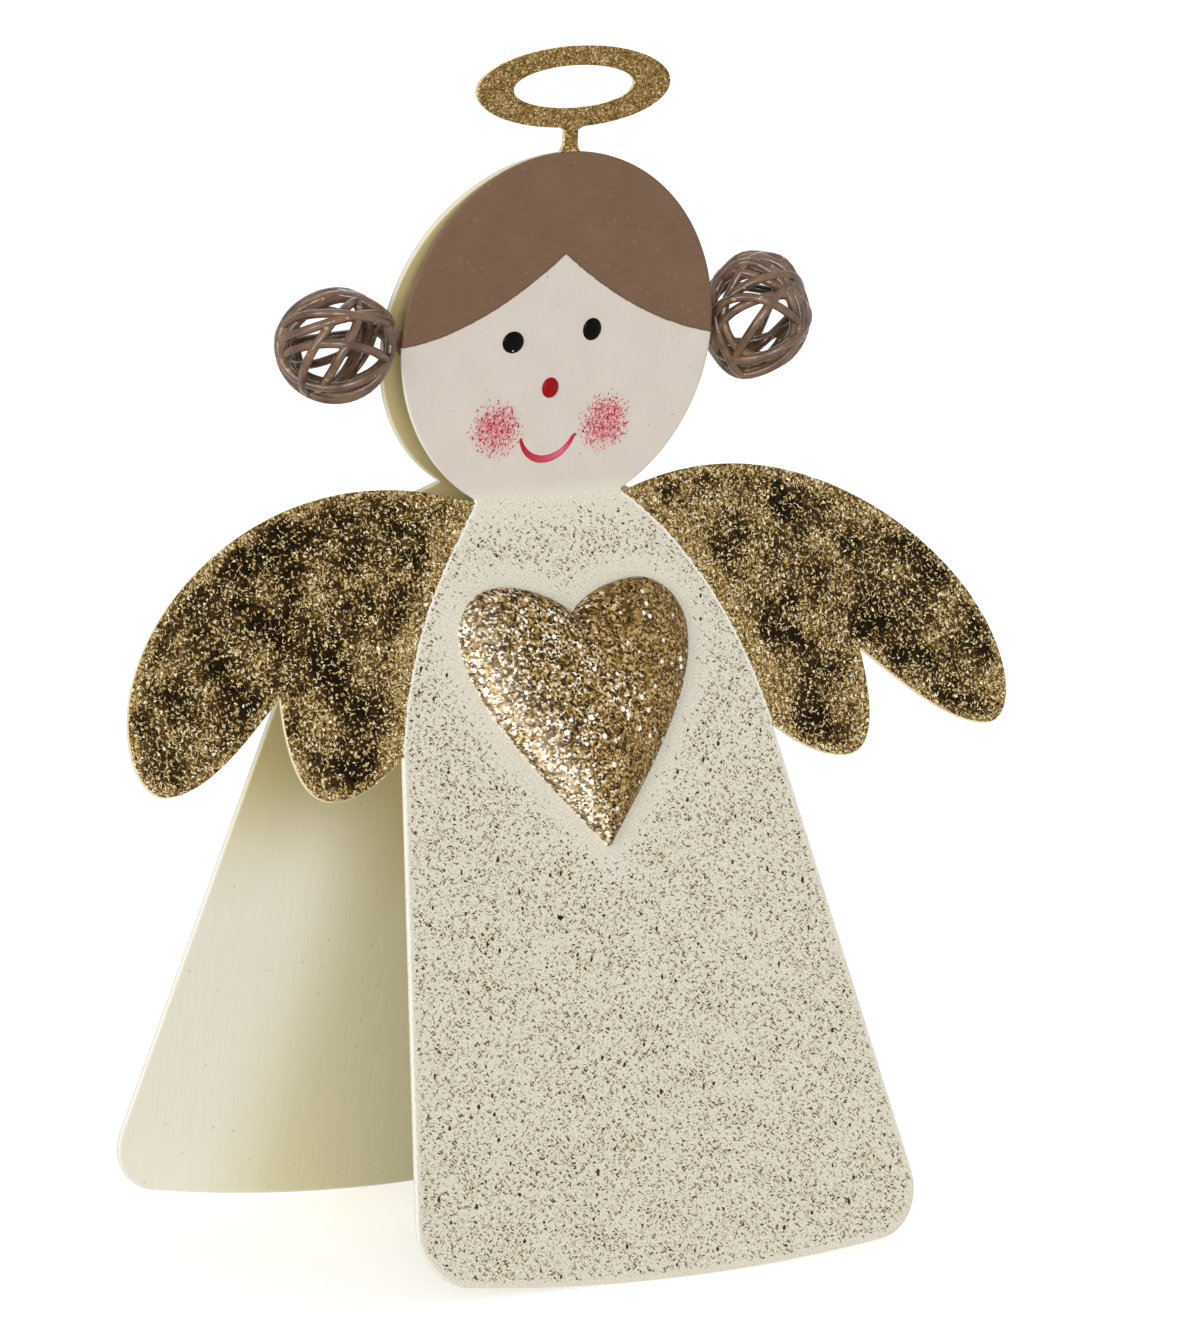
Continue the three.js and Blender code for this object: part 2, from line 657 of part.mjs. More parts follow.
const pinZ = NECK_HEIGHT - PIN_DROP;
const frontFaceY = frontNeckY + (NECK_HEIGHT - pinZ) * Math.tan(SKIRT_LEAN) + SHEET / Math.cos(SKIRT_LEAN);
const backFaceY = backNeckY + (backNeckHeight - pinZ) * Math.tan(BACK_SKIRT_LEAN);
const pinY = (frontFaceY + backFaceY) / 2;
const pinLift = ((backFaceY - frontFaceY) / 2) * Math.cos(SKIRT_LEAN);
const backPinLift = ((backFaceY - frontFaceY) / 2) * Math.cos(BACK_SKIRT_LEAN);
const coilLength = SPRING_PITCH * (SPRING_TURNS + 1) + SPRING_WIRE;
const innerEarX = coilLength / 2 + EAR_PLAY;
const outerEarX = innerEarX + BRACKET_SHEET + EAR_PLAY;

// Frame on a skirt's inner face at the foot of the pin: x across, y down the sheet, z towards the pin
function footFrame(lean, lift, towardsBack) {
  const frame = new THREE.Group();
  const normal = new THREE.Vector3(0, Math.cos(lean), Math.sin(lean)).multiplyScalar(towardsBack);
  const down = new THREE.Vector3(0, Math.sin(lean), -Math.cos(lean));
  frame.matrix.makeBasis(down.clone().cross(normal), down, normal);
  frame.quaternion.setFromRotationMatrix(frame.matrix);
  frame.position.set(0, pinY, pinZ).addScaledVector(normal, -lift);
  frame.updateMatrix();
  return frame;
}

// Where a straight line from a point outside touches a circle, on the side given by its sign
function tangentPoint(point, centre, radius, side) {
  const away = point.clone().sub(centre);
  const swing = side * Math.acos(radius / away.length());
  return away.setLength(radius).rotateAround(new THREE.Vector2(), swing).add(centre);
}

function earShape(lift) {
  const pin = new THREE.Vector2(0, lift);
  const upper = new THREE.Vector2(-BRACKET_ABOVE, SEAT_GAP);
  const lower = new THREE.Vector2(EAR_BELOW, SEAT_GAP);
  const upperTouch = tangentPoint(upper, pin, EAR_RADIUS, -1);
  const lowerTouch = tangentPoint(lower, pin, EAR_RADIUS, 1);
  const shape = new THREE.Shape();
  shape.moveTo(upper.x, upper.y);
  shape.lineTo(lower.x, lower.y);
  shape.absarc(
    0, lift, EAR_RADIUS, lowerTouch.sub(pin).angle(), upperTouch.sub(pin).angle(), false,
  );
  const hole = new THREE.Path();
  hole.absarc(0, lift, PIN_RADIUS + PIN_HOLE_GAP, 0, 2 * Math.PI, true);
  shape.holes.push(hole);
  return shape;
}

function hingeBracket(lift, earX) {
  const width = 2 * (earX + BRACKET_SHEET);
  const length = BRACKET_ABOVE + BRACKET_BELOW;
  const base = new THREE.BoxGeometry(width, length, BRACKET_SHEET);
  base.translate(0, BRACKET_BELOW - length / 2, SEAT_GAP + BRACKET_SHEET / 2);
  let solid = solidOf(base);
  for (const x of [-earX - BRACKET_SHEET, earX]) {
    const ear = extruded(earShape(lift), BRACKET_SHEET, ROUND_SIDES / 2);
    const turn = new THREE.Matrix4().makeBasis(
      new THREE.Vector3(0, 1, 0), new THREE.Vector3(0, 0, 1), new THREE.Vector3(1, 0, 0),
    );
    ear.applyMatrix4(turn);
    ear.translate(x, 0, 0);
    solid = solid.add(solidOf(ear));
  }
  return geometryOf(solid);
}

function hingePin() {
  const shank = outerEarX + BRACKET_SHEET + SEAT_GAP;
  const end = shank + PIN_HEAD_LENGTH;
  const flat = PIN_HEAD_RADIUS - PIN_CHAMFER;
  const half = [
    [PIN_RADIUS, shank], [PIN_HEAD_RADIUS, shank],
    [PIN_HEAD_RADIUS, end - PIN_CHAMFER], [flat, end], [0, end],
  ];
  const otherHalf = half.map(([r, x]) => [r, -x]).reverse();
  const profile = [...otherHalf, ...half].map(([r, x]) => new THREE.Vector2(r, x));
  const pin = new THREE.LatheGeometry(profile, ROUND_SIDES);
  return pin.rotateZ(-Math.PI / 2);
}

// Spring: a leg up from the front bracket, the coil over the top of the pin, and a leg down the back one
function springPath(frontFoot, backFoot) {
  const legLift = SEAT_GAP + BRACKET_SHEET + SEAT_GAP + SPRING_WIRE / 2;
  const legEnd = (foot) => {
    const end = new THREE.Vector3(0, SPRING_LEG, legLift).applyMatrix4(foot.matrix);
    return new THREE.Vector2(end.y - pinY, end.z - pinZ);
  };
  const [frontEnd, backEnd] = [legEnd(frontFoot), legEnd(backFoot)];
  const origin = new THREE.Vector2();
  const frontTouch = tangentPoint(frontEnd, origin, SPRING_RADIUS, -1);
  const backTouch = tangentPoint(backEnd, origin, SPRING_RADIUS, 1);
  const startAngle = frontTouch.angle();
  const sweep = 2 * Math.PI * SPRING_TURNS + startAngle - backTouch.angle();
  const steps = Math.round((sweep / (2 * Math.PI)) * CURL_STEPS);
  const half = (SPRING_PITCH * sweep) / (4 * Math.PI);
  const path = [new THREE.Vector3(-half, frontEnd.x, frontEnd.y)];
  for (let i = 0; i <= steps; i += 1) {
    const angle = startAngle - (sweep * i) / steps;
    const x = half * ((2 * i) / steps - 1);
    path.push(new THREE.Vector3(x, SPRING_RADIUS * Math.cos(angle), SPRING_RADIUS * Math.sin(angle)));
  }
  path.push(new THREE.Vector3(half, backEnd.x, backEnd.y));
  return path;
}

// Assembly

const angel = new THREE.Group();
angel.position.y = -(frontHemY + backHemY) / 2;
angel.add(named('front_panel', frontPanel(), creamPaint));
angel.add(named('back_panel', backPanel(), creamPaint));

const face = new THREE.Group();
face.position.y = headCentre;
face.add(named('halo', haloRing(), goldGlitter));
const bunX = HEAD_RADIUS + BUN_RADIUS + BUN_EDGE_GAP;
const bunWire = bunPath();
for (const [side, name] of [[-1, 'left'], [1, 'right']]) {
  const bun = named(`${name}_bun`, wireTube(bunWire, BUN_WIRE, LOOP_SIDES), brownPaint);
  bun.position.set(side * bunX, 0, -BUN_SETBACK);
  bun.rotation.set(rad(BUN_TILT_DEG), side > 0 ? Math.PI : 0, rad(BUN_TILT_DEG));
  face.add(bun, named(`${name}_bun_solder`, solderBead(side, bunX), brownPaint));
}
front.head.add(face);

const heart = named('heart', heartDome(), goldGlitter);
heart.position.set(0, -HEART_DROP, SEAT_GAP);
front.skirt.add(heart);

const frontFoot = footFrame(SKIRT_LEAN, pinLift, 1);
const backFoot = footFrame(BACK_SKIRT_LEAN, backPinLift, -1);
frontFoot.add(named('front_bracket', hingeBracket(pinLift, outerEarX), zincPlate));
backFoot.add(named('back_bracket', hingeBracket(backPinLift, innerEarX), zincPlate));

const springWire = springPath(frontFoot, backFoot);
const pivot = new THREE.Group();
pivot.position.set(0, pinY, pinZ);
pivot.add(named('hinge_pin', hingePin(), zincPlate));
pivot.add(named('torsion_spring', wireTube(springWire, SPRING_WIRE, CURL_SIDES), springSteel));
angel.add(front.head, front.skirt, frontFoot, backFoot, pivot);

console.log(`bun wire: least gap to itself ${leastGap(bunWire, BUN_WIRE).toFixed(2)} mm`);
console.log(`spring wire: least gap to itself ${leastGap(springWire, SPRING_WIRE).toFixed(2)} mm`);

export default angel;
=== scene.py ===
"""Looks of the angel clip: painted sheet, leafed wings, glitter heart, wire buns and the sprung hinge."""

from math import acos, atan2, cos, hypot, pi, radians, sin, sqrt, tan

import bpy
import numpy as np
from mathutils import Matrix, Quaternion, Vector
from mathutils.geometry import delaunay_2d_cdt


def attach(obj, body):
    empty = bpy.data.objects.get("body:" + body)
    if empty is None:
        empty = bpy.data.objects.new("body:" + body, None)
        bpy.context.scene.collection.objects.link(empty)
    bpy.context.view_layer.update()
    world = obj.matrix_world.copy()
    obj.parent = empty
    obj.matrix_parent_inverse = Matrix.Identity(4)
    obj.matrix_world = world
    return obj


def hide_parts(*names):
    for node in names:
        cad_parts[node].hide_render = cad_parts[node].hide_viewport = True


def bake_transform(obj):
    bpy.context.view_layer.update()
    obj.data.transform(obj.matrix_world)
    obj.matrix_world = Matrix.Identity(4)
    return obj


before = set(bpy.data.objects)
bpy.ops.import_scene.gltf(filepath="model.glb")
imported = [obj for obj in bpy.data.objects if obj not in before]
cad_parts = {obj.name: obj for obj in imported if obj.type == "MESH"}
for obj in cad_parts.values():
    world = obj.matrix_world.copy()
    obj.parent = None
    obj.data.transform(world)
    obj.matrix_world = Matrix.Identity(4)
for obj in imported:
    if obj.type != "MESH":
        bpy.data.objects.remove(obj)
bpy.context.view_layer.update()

# Lengths are in millimetres until a mesh is made, and angles in degrees

MM = 0.001
SHEET = 0.8
# Lengths below this count as none
NEAR = 0.01
# Share of a corner's radius at which a curve's handles follow a circle
HANDLE = 0.552
# How deep a seated piece and a drop of paint reach into what carries them
SEAT_DEPTH = 0.05
PAINT_DEPTH = 0.03

# Front sheet

NECK_HEIGHT = 113
NECK_HALF = 13.2
HEAD_RADIUS = 27.8
HEAD_LEAN = 5.2
SKIRT_LEAN = 18.7
SKIRT_TOP_HALF = 27.3
HEM_HALF = 46
HEM_SAG = 3.2
HEM_CORNER = 9.2
FRONT_NECK_Y = -3.751
FRONT_BEND = 0.212
HEAD_CENTRE = FRONT_BEND + sqrt(HEAD_RADIUS**2 - NECK_HALF**2)
HEAD_TOP = HEAD_CENTRE + HEAD_RADIUS

NECK_LINE_HALF = 11.8
WING_ROOT_DROP = 37.5
WING_SWEEP = 2.5
# Points up to this far past the skirt's side still count as on the skirt
SIDE_SLACK = 0.05

# Back sheet

BACK_NECK_HEIGHT = 114.8
BACK_NECK_HALF = 13.5
BACK_HEAD_RADIUS = 27.7
BACK_HEAD_LEAN = 14.5
BACK_SKIRT_LEAN = 17.2
BACK_SKIRT_TOP_HALF = 28.8
BACK_HEM_HALF = 50.8
BACK_HEM_SAG = 5.5
BACK_NECK_Y = 5.612
BACK_BEND = 0.024
BACK_HEAD_CENTRE = BACK_BEND + sqrt(BACK_HEAD_RADIUS**2 - BACK_NECK_HALF**2)
SHOULDER_DROP = 14
SHOULDER_SLOPE = 21
# Handles of the shoulder's curve, as shares of its width and of its drop
SHOULDER_REACH = 0.62
SHOULDER_HANDLE = 0.5

# Halo

HALO_RISE = 9.9
HALO_CENTRE = HEAD_RADIUS + HALO_RISE
HALO_OUTER = (17.3, 6.2)
HALO_INNER = (10.8, 3.2)
POST_HALF = 1.25
FOOT_HALF = 1.9
FOOT_HEIGHT = 1.5
# Where the ring runs into the post: in radians from its lowest point, and the drop from there
POST_TURN = 0.12
POST_DROP = 0.4

# Heart

HEART_DROP = 13.5
HEART_HALF = 20.2
HEART_LENGTH = 40.2
HEART_CLEFT = 5
HEART_LOBE = 12.4
HEART_WIDEST = 8
HEART_PEAK = 12.6
HEART_HEIGHT = 4.6
HEART_WALL = 0.7
HEART_CROWN = 2.1
FLANK_TOP = 6

# Buns

BUN_X = 37.7
BUN_SETBACK = 3.2
BUN_RADIUS = 9.4
BUN_WIRE = 1.4
BUN_LOOPS = 15
BUN_AXIS = (-0.55, 0.05, 0.83)
# Where loops of the wire stand out, as (direction, share of the radius), and how far each ball is drawn out
LEFT_BUN_BULGES = [((-0.9, -0.1, 0.1), 0.06), ((0.8, 0.5, 0.2), 0.05)]
RIGHT_BUN_BULGES = [((-0.3, 0.95, 0.1), 0.2), ((0.3, 0.95, 0.3), 0.17), ((-0.35, -0.93, 0.1), 0.1)]
LEFT_BUN_SHAPE = (1.02, 0.94, 1)
RIGHT_BUN_SHAPE = (0.95, 1, 0.95)
BULGE_POWER = 14
# How far loops lean from the axis, and their radius and its wander as shares of the ball's
LOW_LEAN = (8, 30)
HIGH_LEAN = (38, 76)
LOOP_RADIUS = 0.93
LOOP_WANDER = 0.033
BUN_STEPS = 46
BUN_SIDES = 10

# Hinge spring

PIN_Y = 1.559
PIN_Z = 108
PIN_LIFT = (5.833, 5.883)
SPRING_WIRE = 1
SPRING_RADIUS = 2.6
SPRING_TURNS = 4
SPRING_PITCH = 1.45
SPRING_LEG = 11
SPRING_LIFT = 2.1
SPRING_STEPS = 56
SPRING_LEG_STEPS = 16
SPRING_SIDES = 14

# Meshes and painted lines

EDGE_STEP = 0.7
HEART_STEP = 0.5
# Lines kept as mesh edges: spacing, and room to the sheet's edge
LINE_STEP = 0.6
LINE_CLEAR = 1
# Points inside a sheet: spacing, row height as a share of it, jitter, and room to the edges
GRID_STEP = 1.7
GRID_ROWS = 0.87
GRID_JITTER = 0.2
GRID_CLEAR = 1.3
# Holds the inset back where an outline turns sharply
SHARPEST = 0.3
# A direction that no wire here starts along
OFF_AXIS = (0.31, 0.52, 0.79)
CHEEKS = ((-10.3, 41.7), (9.4, 41.7))
STRAY_TOUCH = (-10.1, -63.2, 0.5)

# Surroundings

FLOOR_HALF = 9000
FLOOR_GLOW = 0.47
ROOM_LEVEL = 0.43

rng = np.random.default_rng(7)


# Curves and flat outlines

def bezier(start, first, second, end, step=EDGE_STEP):
    """Points from start up to, but not with, end."""
    corners = [np.array(p, float) for p in (start, first, second, end)]
    length = sum(np.linalg.norm(b - a) for a, b in zip(corners, corners[1:]))
    t = np.linspace(0, 1, max(4, round(length / step)), endpoint=False)[:, None]
    weights = ((1 - t) ** 3, 3 * t * (1 - t) ** 2, 3 * t * t * (1 - t), t**3)
    return sum(w * p for w, p in zip(weights, corners))


def straight(start, end, step=EDGE_STEP):
    start, end = np.array(start, float), np.array(end, float)
    count = max(1, round(np.linalg.norm(end - start) / step))
    return start + (end - start) * np.linspace(0, 1, count, endpoint=False)[:, None]


def arc(centre, radius, first, last, step=EDGE_STEP):
    count = max(4, round(abs(last - first) * radius / step))
    angles = np.linspace(first, last, count, endpoint=False)
    return np.array(centre) + radius * np.column_stack([np.cos(angles), np.sin(angles)])


def mirrored(right_half):
    """A closed outline, anticlockwise, from its right half drawn from the top to the bottom."""
    left_half = right_half[1:-1][::-1] * [-1, 1]
    return np.vstack([right_half, left_half])[::-1]


def head_edge(radius, centre, neck_half, bend):
    return arc((0, centre), radius, pi / 2, atan2(bend - centre, neck_half))


def skirt_side(top_half, hem_half, length, sag, drop):
    """The straight side from a drop below the neck, the rounded corner and half of the curved hem."""
    flare = (hem_half - top_half) / (length - sag)
    along = np.array([flare, -1]) / hypot(flare, 1)
    root = np.array([top_half + flare * drop, -drop])
    side_end = np.array([hem_half, sag - length]) - HEM_CORNER * along
    hem_x = hem_half - HEM_CORNER
    lift = sag * (hem_x / hem_half) ** 2
    hem_end = np.array([hem_x, lift - length])
    slope = 2 * lift / hem_x
    handle = HEM_CORNER * HANDLE
    corner = bezier(side_end, side_end + handle * along, hem_end + handle * np.array([1, slope]), hem_end)
    x = np.linspace(hem_x, 0, round(hem_x / EDGE_STEP), endpoint=False)
    hem = np.column_stack([x, lift * (x / hem_x) ** 2 - length])
    return root, along, np.vstack([straight(root, side_end), corner, hem, [[0, -length]]])


def wing_edge(root):
    """The right wing's two lobes, from the neck's corner over the crest to the root on the skirt's side."""
    neck, crest, reach = (NECK_HALF, -FRONT_BEND), (32, 3), (78.9, -32.5)
    outer, slit, inner = (74, -40.1), (52.3, -27), (46, -43.2)
    return np.vstack([
        bezier(neck, (18.8, 1.6), (24.5, 3), crest),
        bezier(crest, (56.4, 3), (78.9, -15.8), reach),
        bezier(reach, (78.9, -37.1), (76.7, -40.1), outer),
        bezier(outer, (66.4, -40.1), (57.5, -31.3), slit),
        bezier(slit, (52.9, -34.3), (52.3, -43.2), inner),
        bezier(inner, (42, -43.2), (37.1, -40.8), root),
    ])


def heart_edge():
    """The heart's closed outline, clockwise from the cleft."""
    cleft, lobe, tip = (0, -HEART_CLEFT), (HEART_LOBE, 0), (0, -HEART_LENGTH)
    widest = (HEART_HALF, -HEART_WIDEST)
    half = np.vstack([
        bezier(cleft, (2.5, -2.3), (7.4, 0), lobe, HEART_STEP),
        bezier(lobe, (16.7, 0), (HEART_HALF, -3.6), widest, HEART_STEP),
        bezier(widest, (HEART_HALF, -17.7), (8.7, -30.2), tip, HEART_STEP),
        [tip],
    ])
    return mirrored(half)[::-1] - [0, HEART_DROP]


# Distances in the flat

def distances(points, line):
    """Distance of each point from an open line of points."""
    start, leg = line[:-1], np.diff(line, axis=0)
    squared = np.maximum((leg**2).sum(1), 1e-12)
    nearest = []
    for block in np.array_split(points, len(points) // 500 + 1):
        away = block[:, None] - start
        t = np.clip((away * leg).sum(2) / squared, 0, 1)
        nearest.append(np.linalg.norm(away - t[..., None] * leg, axis=2).min(1))
    return np.concatenate(nearest)


def inside(points, loop):
    x, y = points[:, :1], points[:, 1:]
    a, b = loop, np.roll(loop, -1, axis=0)
    crosses = (a[:, 1] > y) != (b[:, 1] > y)
    rise = np.where(b[:, 1] == a[:, 1], 1, b[:, 1] - a[:, 1])
    left = x < a[:, 0] + (y - a[:, 1]) * (b[:, 0] - a[:, 0]) / rise
    return (crosses & left).sum(1) % 2 == 1


def closed(loop):
    return np.vstack([loop, loop[:1]])


def unit(vectors):
    return vectors / np.linalg.norm(vectors, axis=1)[:, None]


def inset(loop, depth):
    """An anticlockwise outline moved inward."""
    before, after = unit(loop - np.roll(loop, 1, axis=0)), unit(np.roll(loop, -1, axis=0) - loop)
    normal = (before + after)[:, ::-1] * [-1, 1]
    normal /= np.maximum(np.linalg.norm(normal, axis=1), SHARPEST)[:, None]
    return loop + depth * normal


# Meshes

def mesh_object(name, vertices, faces):
    """A smooth-shaded object from places in millimetres."""
    mesh = bpy.data.meshes.new(name)
    mesh.from_pydata([tuple(v) for v in np.asarray(vertices) * MM], [], [tuple(map(int, f)) for f in faces])
    mesh.polygons.foreach_set("use_smooth", [True] * len(mesh.polygons))
    mesh.update()
    obj = bpy.data.objects.new(name, mesh)
    bpy.context.scene.collection.objects.link(obj)
    return obj


def sheet_frame(y, z, lean):
    """Local x runs across the sheet, y up it and z out of its front face."""
    return Matrix.Translation((0, y, z)) @ Matrix.Rotation(radians(90 + lean), 4, "X")


def placed(matrix, points):
    m = np.array(matrix)
    return np.asarray(points) @ m[:3, :3].T + m[:3, 3]


def loop_bands(rings, count):
    """Quads between neighbouring rings that each hold count points."""
    faces = []
    for ring in range(rings - 1):
        for i in range(count):
            j = (i + 1) % count
            faces.append((ring * count + i, (ring + 1) * count + i, (ring + 1) * count + j, ring * count + j))
    return faces


def closed_bands(rings, count):
    """The bands, turned over, and a face at each end."""
    first, last = range(count)[::-1], range((rings - 1) * count, rings * count)
    return [f[::-1] for f in loop_bands(rings, count)] + [tuple(first), tuple(last)]


def dome_object(name, sheet, rings, peak, foot):
    """A dome on a sheet, from rings of points that rise to the peak; foot is the order of its lowest face."""
    count, vertices = len(rings[0]), np.vstack(rings + [[peak]])
    last, tip = (len(rings) - 1) * count, len(vertices) - 1
    faces = loop_bands(len(rings), count)
    faces += [(last + i, tip, last + (i + 1) % count) for i in range(count)]
    return mesh_object(name, placed(sheet, vertices), [f[::-1] for f in faces] + [tuple(foot)])


def rounded_rim(width, radius):
    """A cut edge, as steps of (inset from the outline, depth behind the front face) from front to rear."""
    front = [(width, 0), (0.26 * radius, 0), (0.1 * radius, 0.06), (0, 0.22)]
    return front + [(step, SHEET - depth) for step, depth in reversed(front)]


SHEET_RIM = rounded_rim(0.6, 1)
HALO_RIM = rounded_rim(0.24, 0.4)


def sheet_object(name, loops, lines, fold, rim=SHEET_RIM):
    """A sheet with a rounded rim, and the flat point and the depth of each of its vertices.

    The first loop is the outline and others are holes. Lines are kept as mesh edges.
    fold turns flat points and their depths into places.
    """
    flat, depth, faces, points, edges, ring_first, ring_last = [], [], [], [], [], [], []
    widest = rim[0][0]
    for loop in loops:
        base, count = sum(map(len, flat)), len(loop)
        flat += [inset(loop, step) for step, _ in rim]
        depth += [np.full(count, d, float) for _, d in rim]
        faces += [tuple(base + i for i in f) for f in loop_bands(len(rim), count)]
        ring_first += range(base, base + count)
        ring_last += range(base + (len(rim) - 1) * count, base + len(rim) * count)
        start = len(points)
        points += list(inset(loop, widest))
        edges += [(start + i, start + (i + 1) % count) for i in range(count)]
    rim_count = len(points)
    for line in lines:
        start = len(points)
        points += list(line)
        edges += [(start + i, start + i + 1) for i in range(len(line) - 1)]
    points += list(interior(loops))
    vectors, _, triangles, sources, _, _ = delaunay_2d_cdt([Vector(p) for p in points], edges, [], 1, 1e-5)
    on_rim = [next((i for i in s if i < rim_count), None) for s in sources]
    spare = [k for k, place in enumerate(on_rim) if place is None]
    surface = np.array(vectors)
    centres = np.array([surface[list(t)].mean(0) for t in triangles])
    keep = np.ones(len(triangles), bool)
    for hole in loops[1:]:
        keep &= ~inside(centres, inset(hole, widest))
    total, extra = sum(map(len, flat)), surface[spare]
    front = [None if place is None else ring_first[place] for place in on_rim]
    rear = [None if place is None else ring_last[place] for place in on_rim]
    for number, k in enumerate(spare):
        front[k], rear[k] = total + number, total + len(extra) + number
    flat += [extra, extra]
    depth += [np.zeros(len(extra)), np.full(len(extra), SHEET)]
    for triangle, kept in zip(triangles, keep):
        if kept:
            faces.append(tuple(front[i] for i in triangle))
            faces.append(tuple(rear[i] for i in reversed(triangle)))
    flat, depth = np.vstack(flat), np.concatenate(depth)
    return mesh_object(name, fold(flat, depth), faces), flat, depth


def interior(loops):
    """Jittered points inside the outline and outside its holes, clear of the edges."""
    outline = loops[0]
    low, high = outline.min(0), outline.max(0)
    rows = np.arange(low[1], high[1], GRID_STEP * GRID_ROWS)
    columns = np.arange(low[0], high[0], GRID_STEP)
    x, y = np.meshgrid(columns, rows)
    x[1::2] += GRID_STEP / 2
    points = np.column_stack([x.ravel(), y.ravel()])
    points += rng.uniform(-GRID_JITTER, GRID_JITTER, points.shape)
    points = points[inside(points, outline)]
    for loop in loops:
        points = points[distances(points, closed(loop)) > GRID_CLEAR]
    for hole in loops[1:]:
        points = points[~inside(points, hole)]
    return points


def mark(obj, flat=None, **marks):
    """Gives each vertex what the paints read: its flat place, and numbers by name."""
    if flat is not None:
        attribute = obj.data.attributes.new("flat", "FLOAT_VECTOR", "POINT")
        attribute.data.foreach_set("vector", np.pad(flat, ((0, 0), (0, 1))).ravel().astype(np.float32))
    for name, values in marks.items():
        attribute = obj.data.attributes.new(name, "FLOAT", "POINT")
        attribute.data.foreach_set("value", values.astype(np.float32))


def set_faces(obj, materials, choice):
    """Gives each face the material whose number choice returns for the list of its corners."""
    for material in materials:
        obj.data.materials.append(material)
    corners = [list(f.vertices) for f in obj.data.polygons]
    obj.data.polygons.foreach_set("material_index", [choice(c) for c in corners])
    obj.data.update()


def tube(name, path, radius, sides):
    """A wire along a path."""
    path = np.asarray(path, float)
    along = unit(np.gradient(path, axis=0))
    across = np.cross(along[0], OFF_AXIS)
    turns = np.linspace(0, 2 * pi, sides, endpoint=False)
    vertices = []
    for point, way in zip(path, along):
        across = across - way * (across @ way)
        across /= np.linalg.norm(across)
        other = np.cross(way, across)
        vertices += [point + radius * (across * cos(a) + other * sin(a)) for a in turns]
    return mesh_object(name, vertices, closed_bands(len(path), sides))


# The front sheet: head, skirt and wings from one blank, folded at the neck and along the wings' roots

front_head = sheet_frame(FRONT_NECK_Y, NECK_HEIGHT, HEAD_LEAN)
front_skirt = sheet_frame(FRONT_NECK_Y, NECK_HEIGHT, -SKIRT_LEAN)
front_length = (NECK_HEIGHT - SHEET * sin(radians(SKIRT_LEAN))) / cos(radians(SKIRT_LEAN))
wing_root, side_way, front_side = skirt_side(SKIRT_TOP_HALF, HEM_HALF, front_length, HEM_SAG, WING_ROOT_DROP)
neck_corner = np.array([NECK_HALF, -FRONT_BEND])


def wing_frame(side):
    """The skirt's frame turned back about the line from the neck's corner to the wing's root."""
    corner = Vector((side * neck_corner[0], neck_corner[1], 0))
    axis = Vector((side * wing_root[0], wing_root[1], 0)) - corner
    turn = Matrix.Rotation(-side * radians(WING_SWEEP), 4, axis)
    return front_skirt @ Matrix.Translation(corner) @ turn @ Matrix.Translation(-corner)


def beyond_root(flat):
    """How far each flat point lies out past the wings' root lines; below zero is on the skirt or the head."""
    x, v = np.abs(flat[:, 0]), flat[:, 1]
    share = (neck_corner[1] - v) / (neck_corner[1] - wing_root[1])
    line = neck_corner[0] + (wing_root[0] - neck_corner[0]) * share
    side = wing_root[0] + (v - wing_root[1]) * side_way[0] / side_way[1]
    below = np.where(v > wing_root[1], x - line, x - side - SIDE_SLACK)
    out = np.where(v > neck_corner[1], x - neck_corner[0], below)
    on_head = (v > neck_corner[1]) & (np.hypot(x, v - HEAD_CENTRE) < HEAD_RADIUS + NEAR)
    return np.where(on_head, -1, out)


def fold_front(flat, depth):
    local = np.column_stack([flat, -depth])
    out, v = beyond_root(flat), flat[:, 1]
    places = np.where((v > 0)[:, None], placed(front_head, local), placed(front_skirt, local))
    middle = (placed(front_head, local) + placed(front_skirt, local)) / 2
    places = np.where((np.abs(v) < NEAR)[:, None], middle, places)
    for side in (-1, 1):
        mine = (out > 0) & (flat[:, 0] * side > 0)
        places[mine] = placed(wing_frame(side), local[mine])
    return places


def from_top(points):
    """Head points given as a drop below the head's top."""
    return np.array([[x, HEAD_TOP - s] for x, s in points])


front_outline = mirrored(np.vstack([
    head_edge(HEAD_RADIUS, HEAD_CENTRE, NECK_HALF, FRONT_BEND),
    [[NECK_HALF, FRONT_BEND]],
    wing_edge(wing_root),
    front_side,
]))
hairline = np.vstack([
    bezier(*from_top([(-29, 28.5), (-18.5, 27.6), (-9, 23), (0.4, 15.6)]), LINE_STEP),
    bezier(*from_top([(0.4, 15.6), (9, 22.5), (18.5, 27.6), (29, 29.3)]), LINE_STEP),
])
gold_edges = [
    bezier((-13.2, -0.3), (-18.5, -7.5), (-28.5, -17.5), (-wing_root[0], wing_root[1]), LINE_STEP),
    bezier((13.2, -0.3), (20.5, -5.5), (30, -17), tuple(wing_root), LINE_STEP),
]
heart_outline = heart_edge()


def clear_of_edge(line):
    """The points of a line that lie away from the sheet's edge."""
    return line[distances(line, closed(front_outline)) > LINE_CLEAR]


neck_x = np.linspace(-NECK_LINE_HALF, NECK_LINE_HALF, 17)
neck_line = np.column_stack([neck_x, np.zeros_like(neck_x)])
kept_lines = [neck_line, clear_of_edge(hairline)] + [clear_of_edge(line) for line in gold_edges]
front, front_flat, front_depth = sheet_object("front_sheet", [front_outline], kept_lines, fold_front)


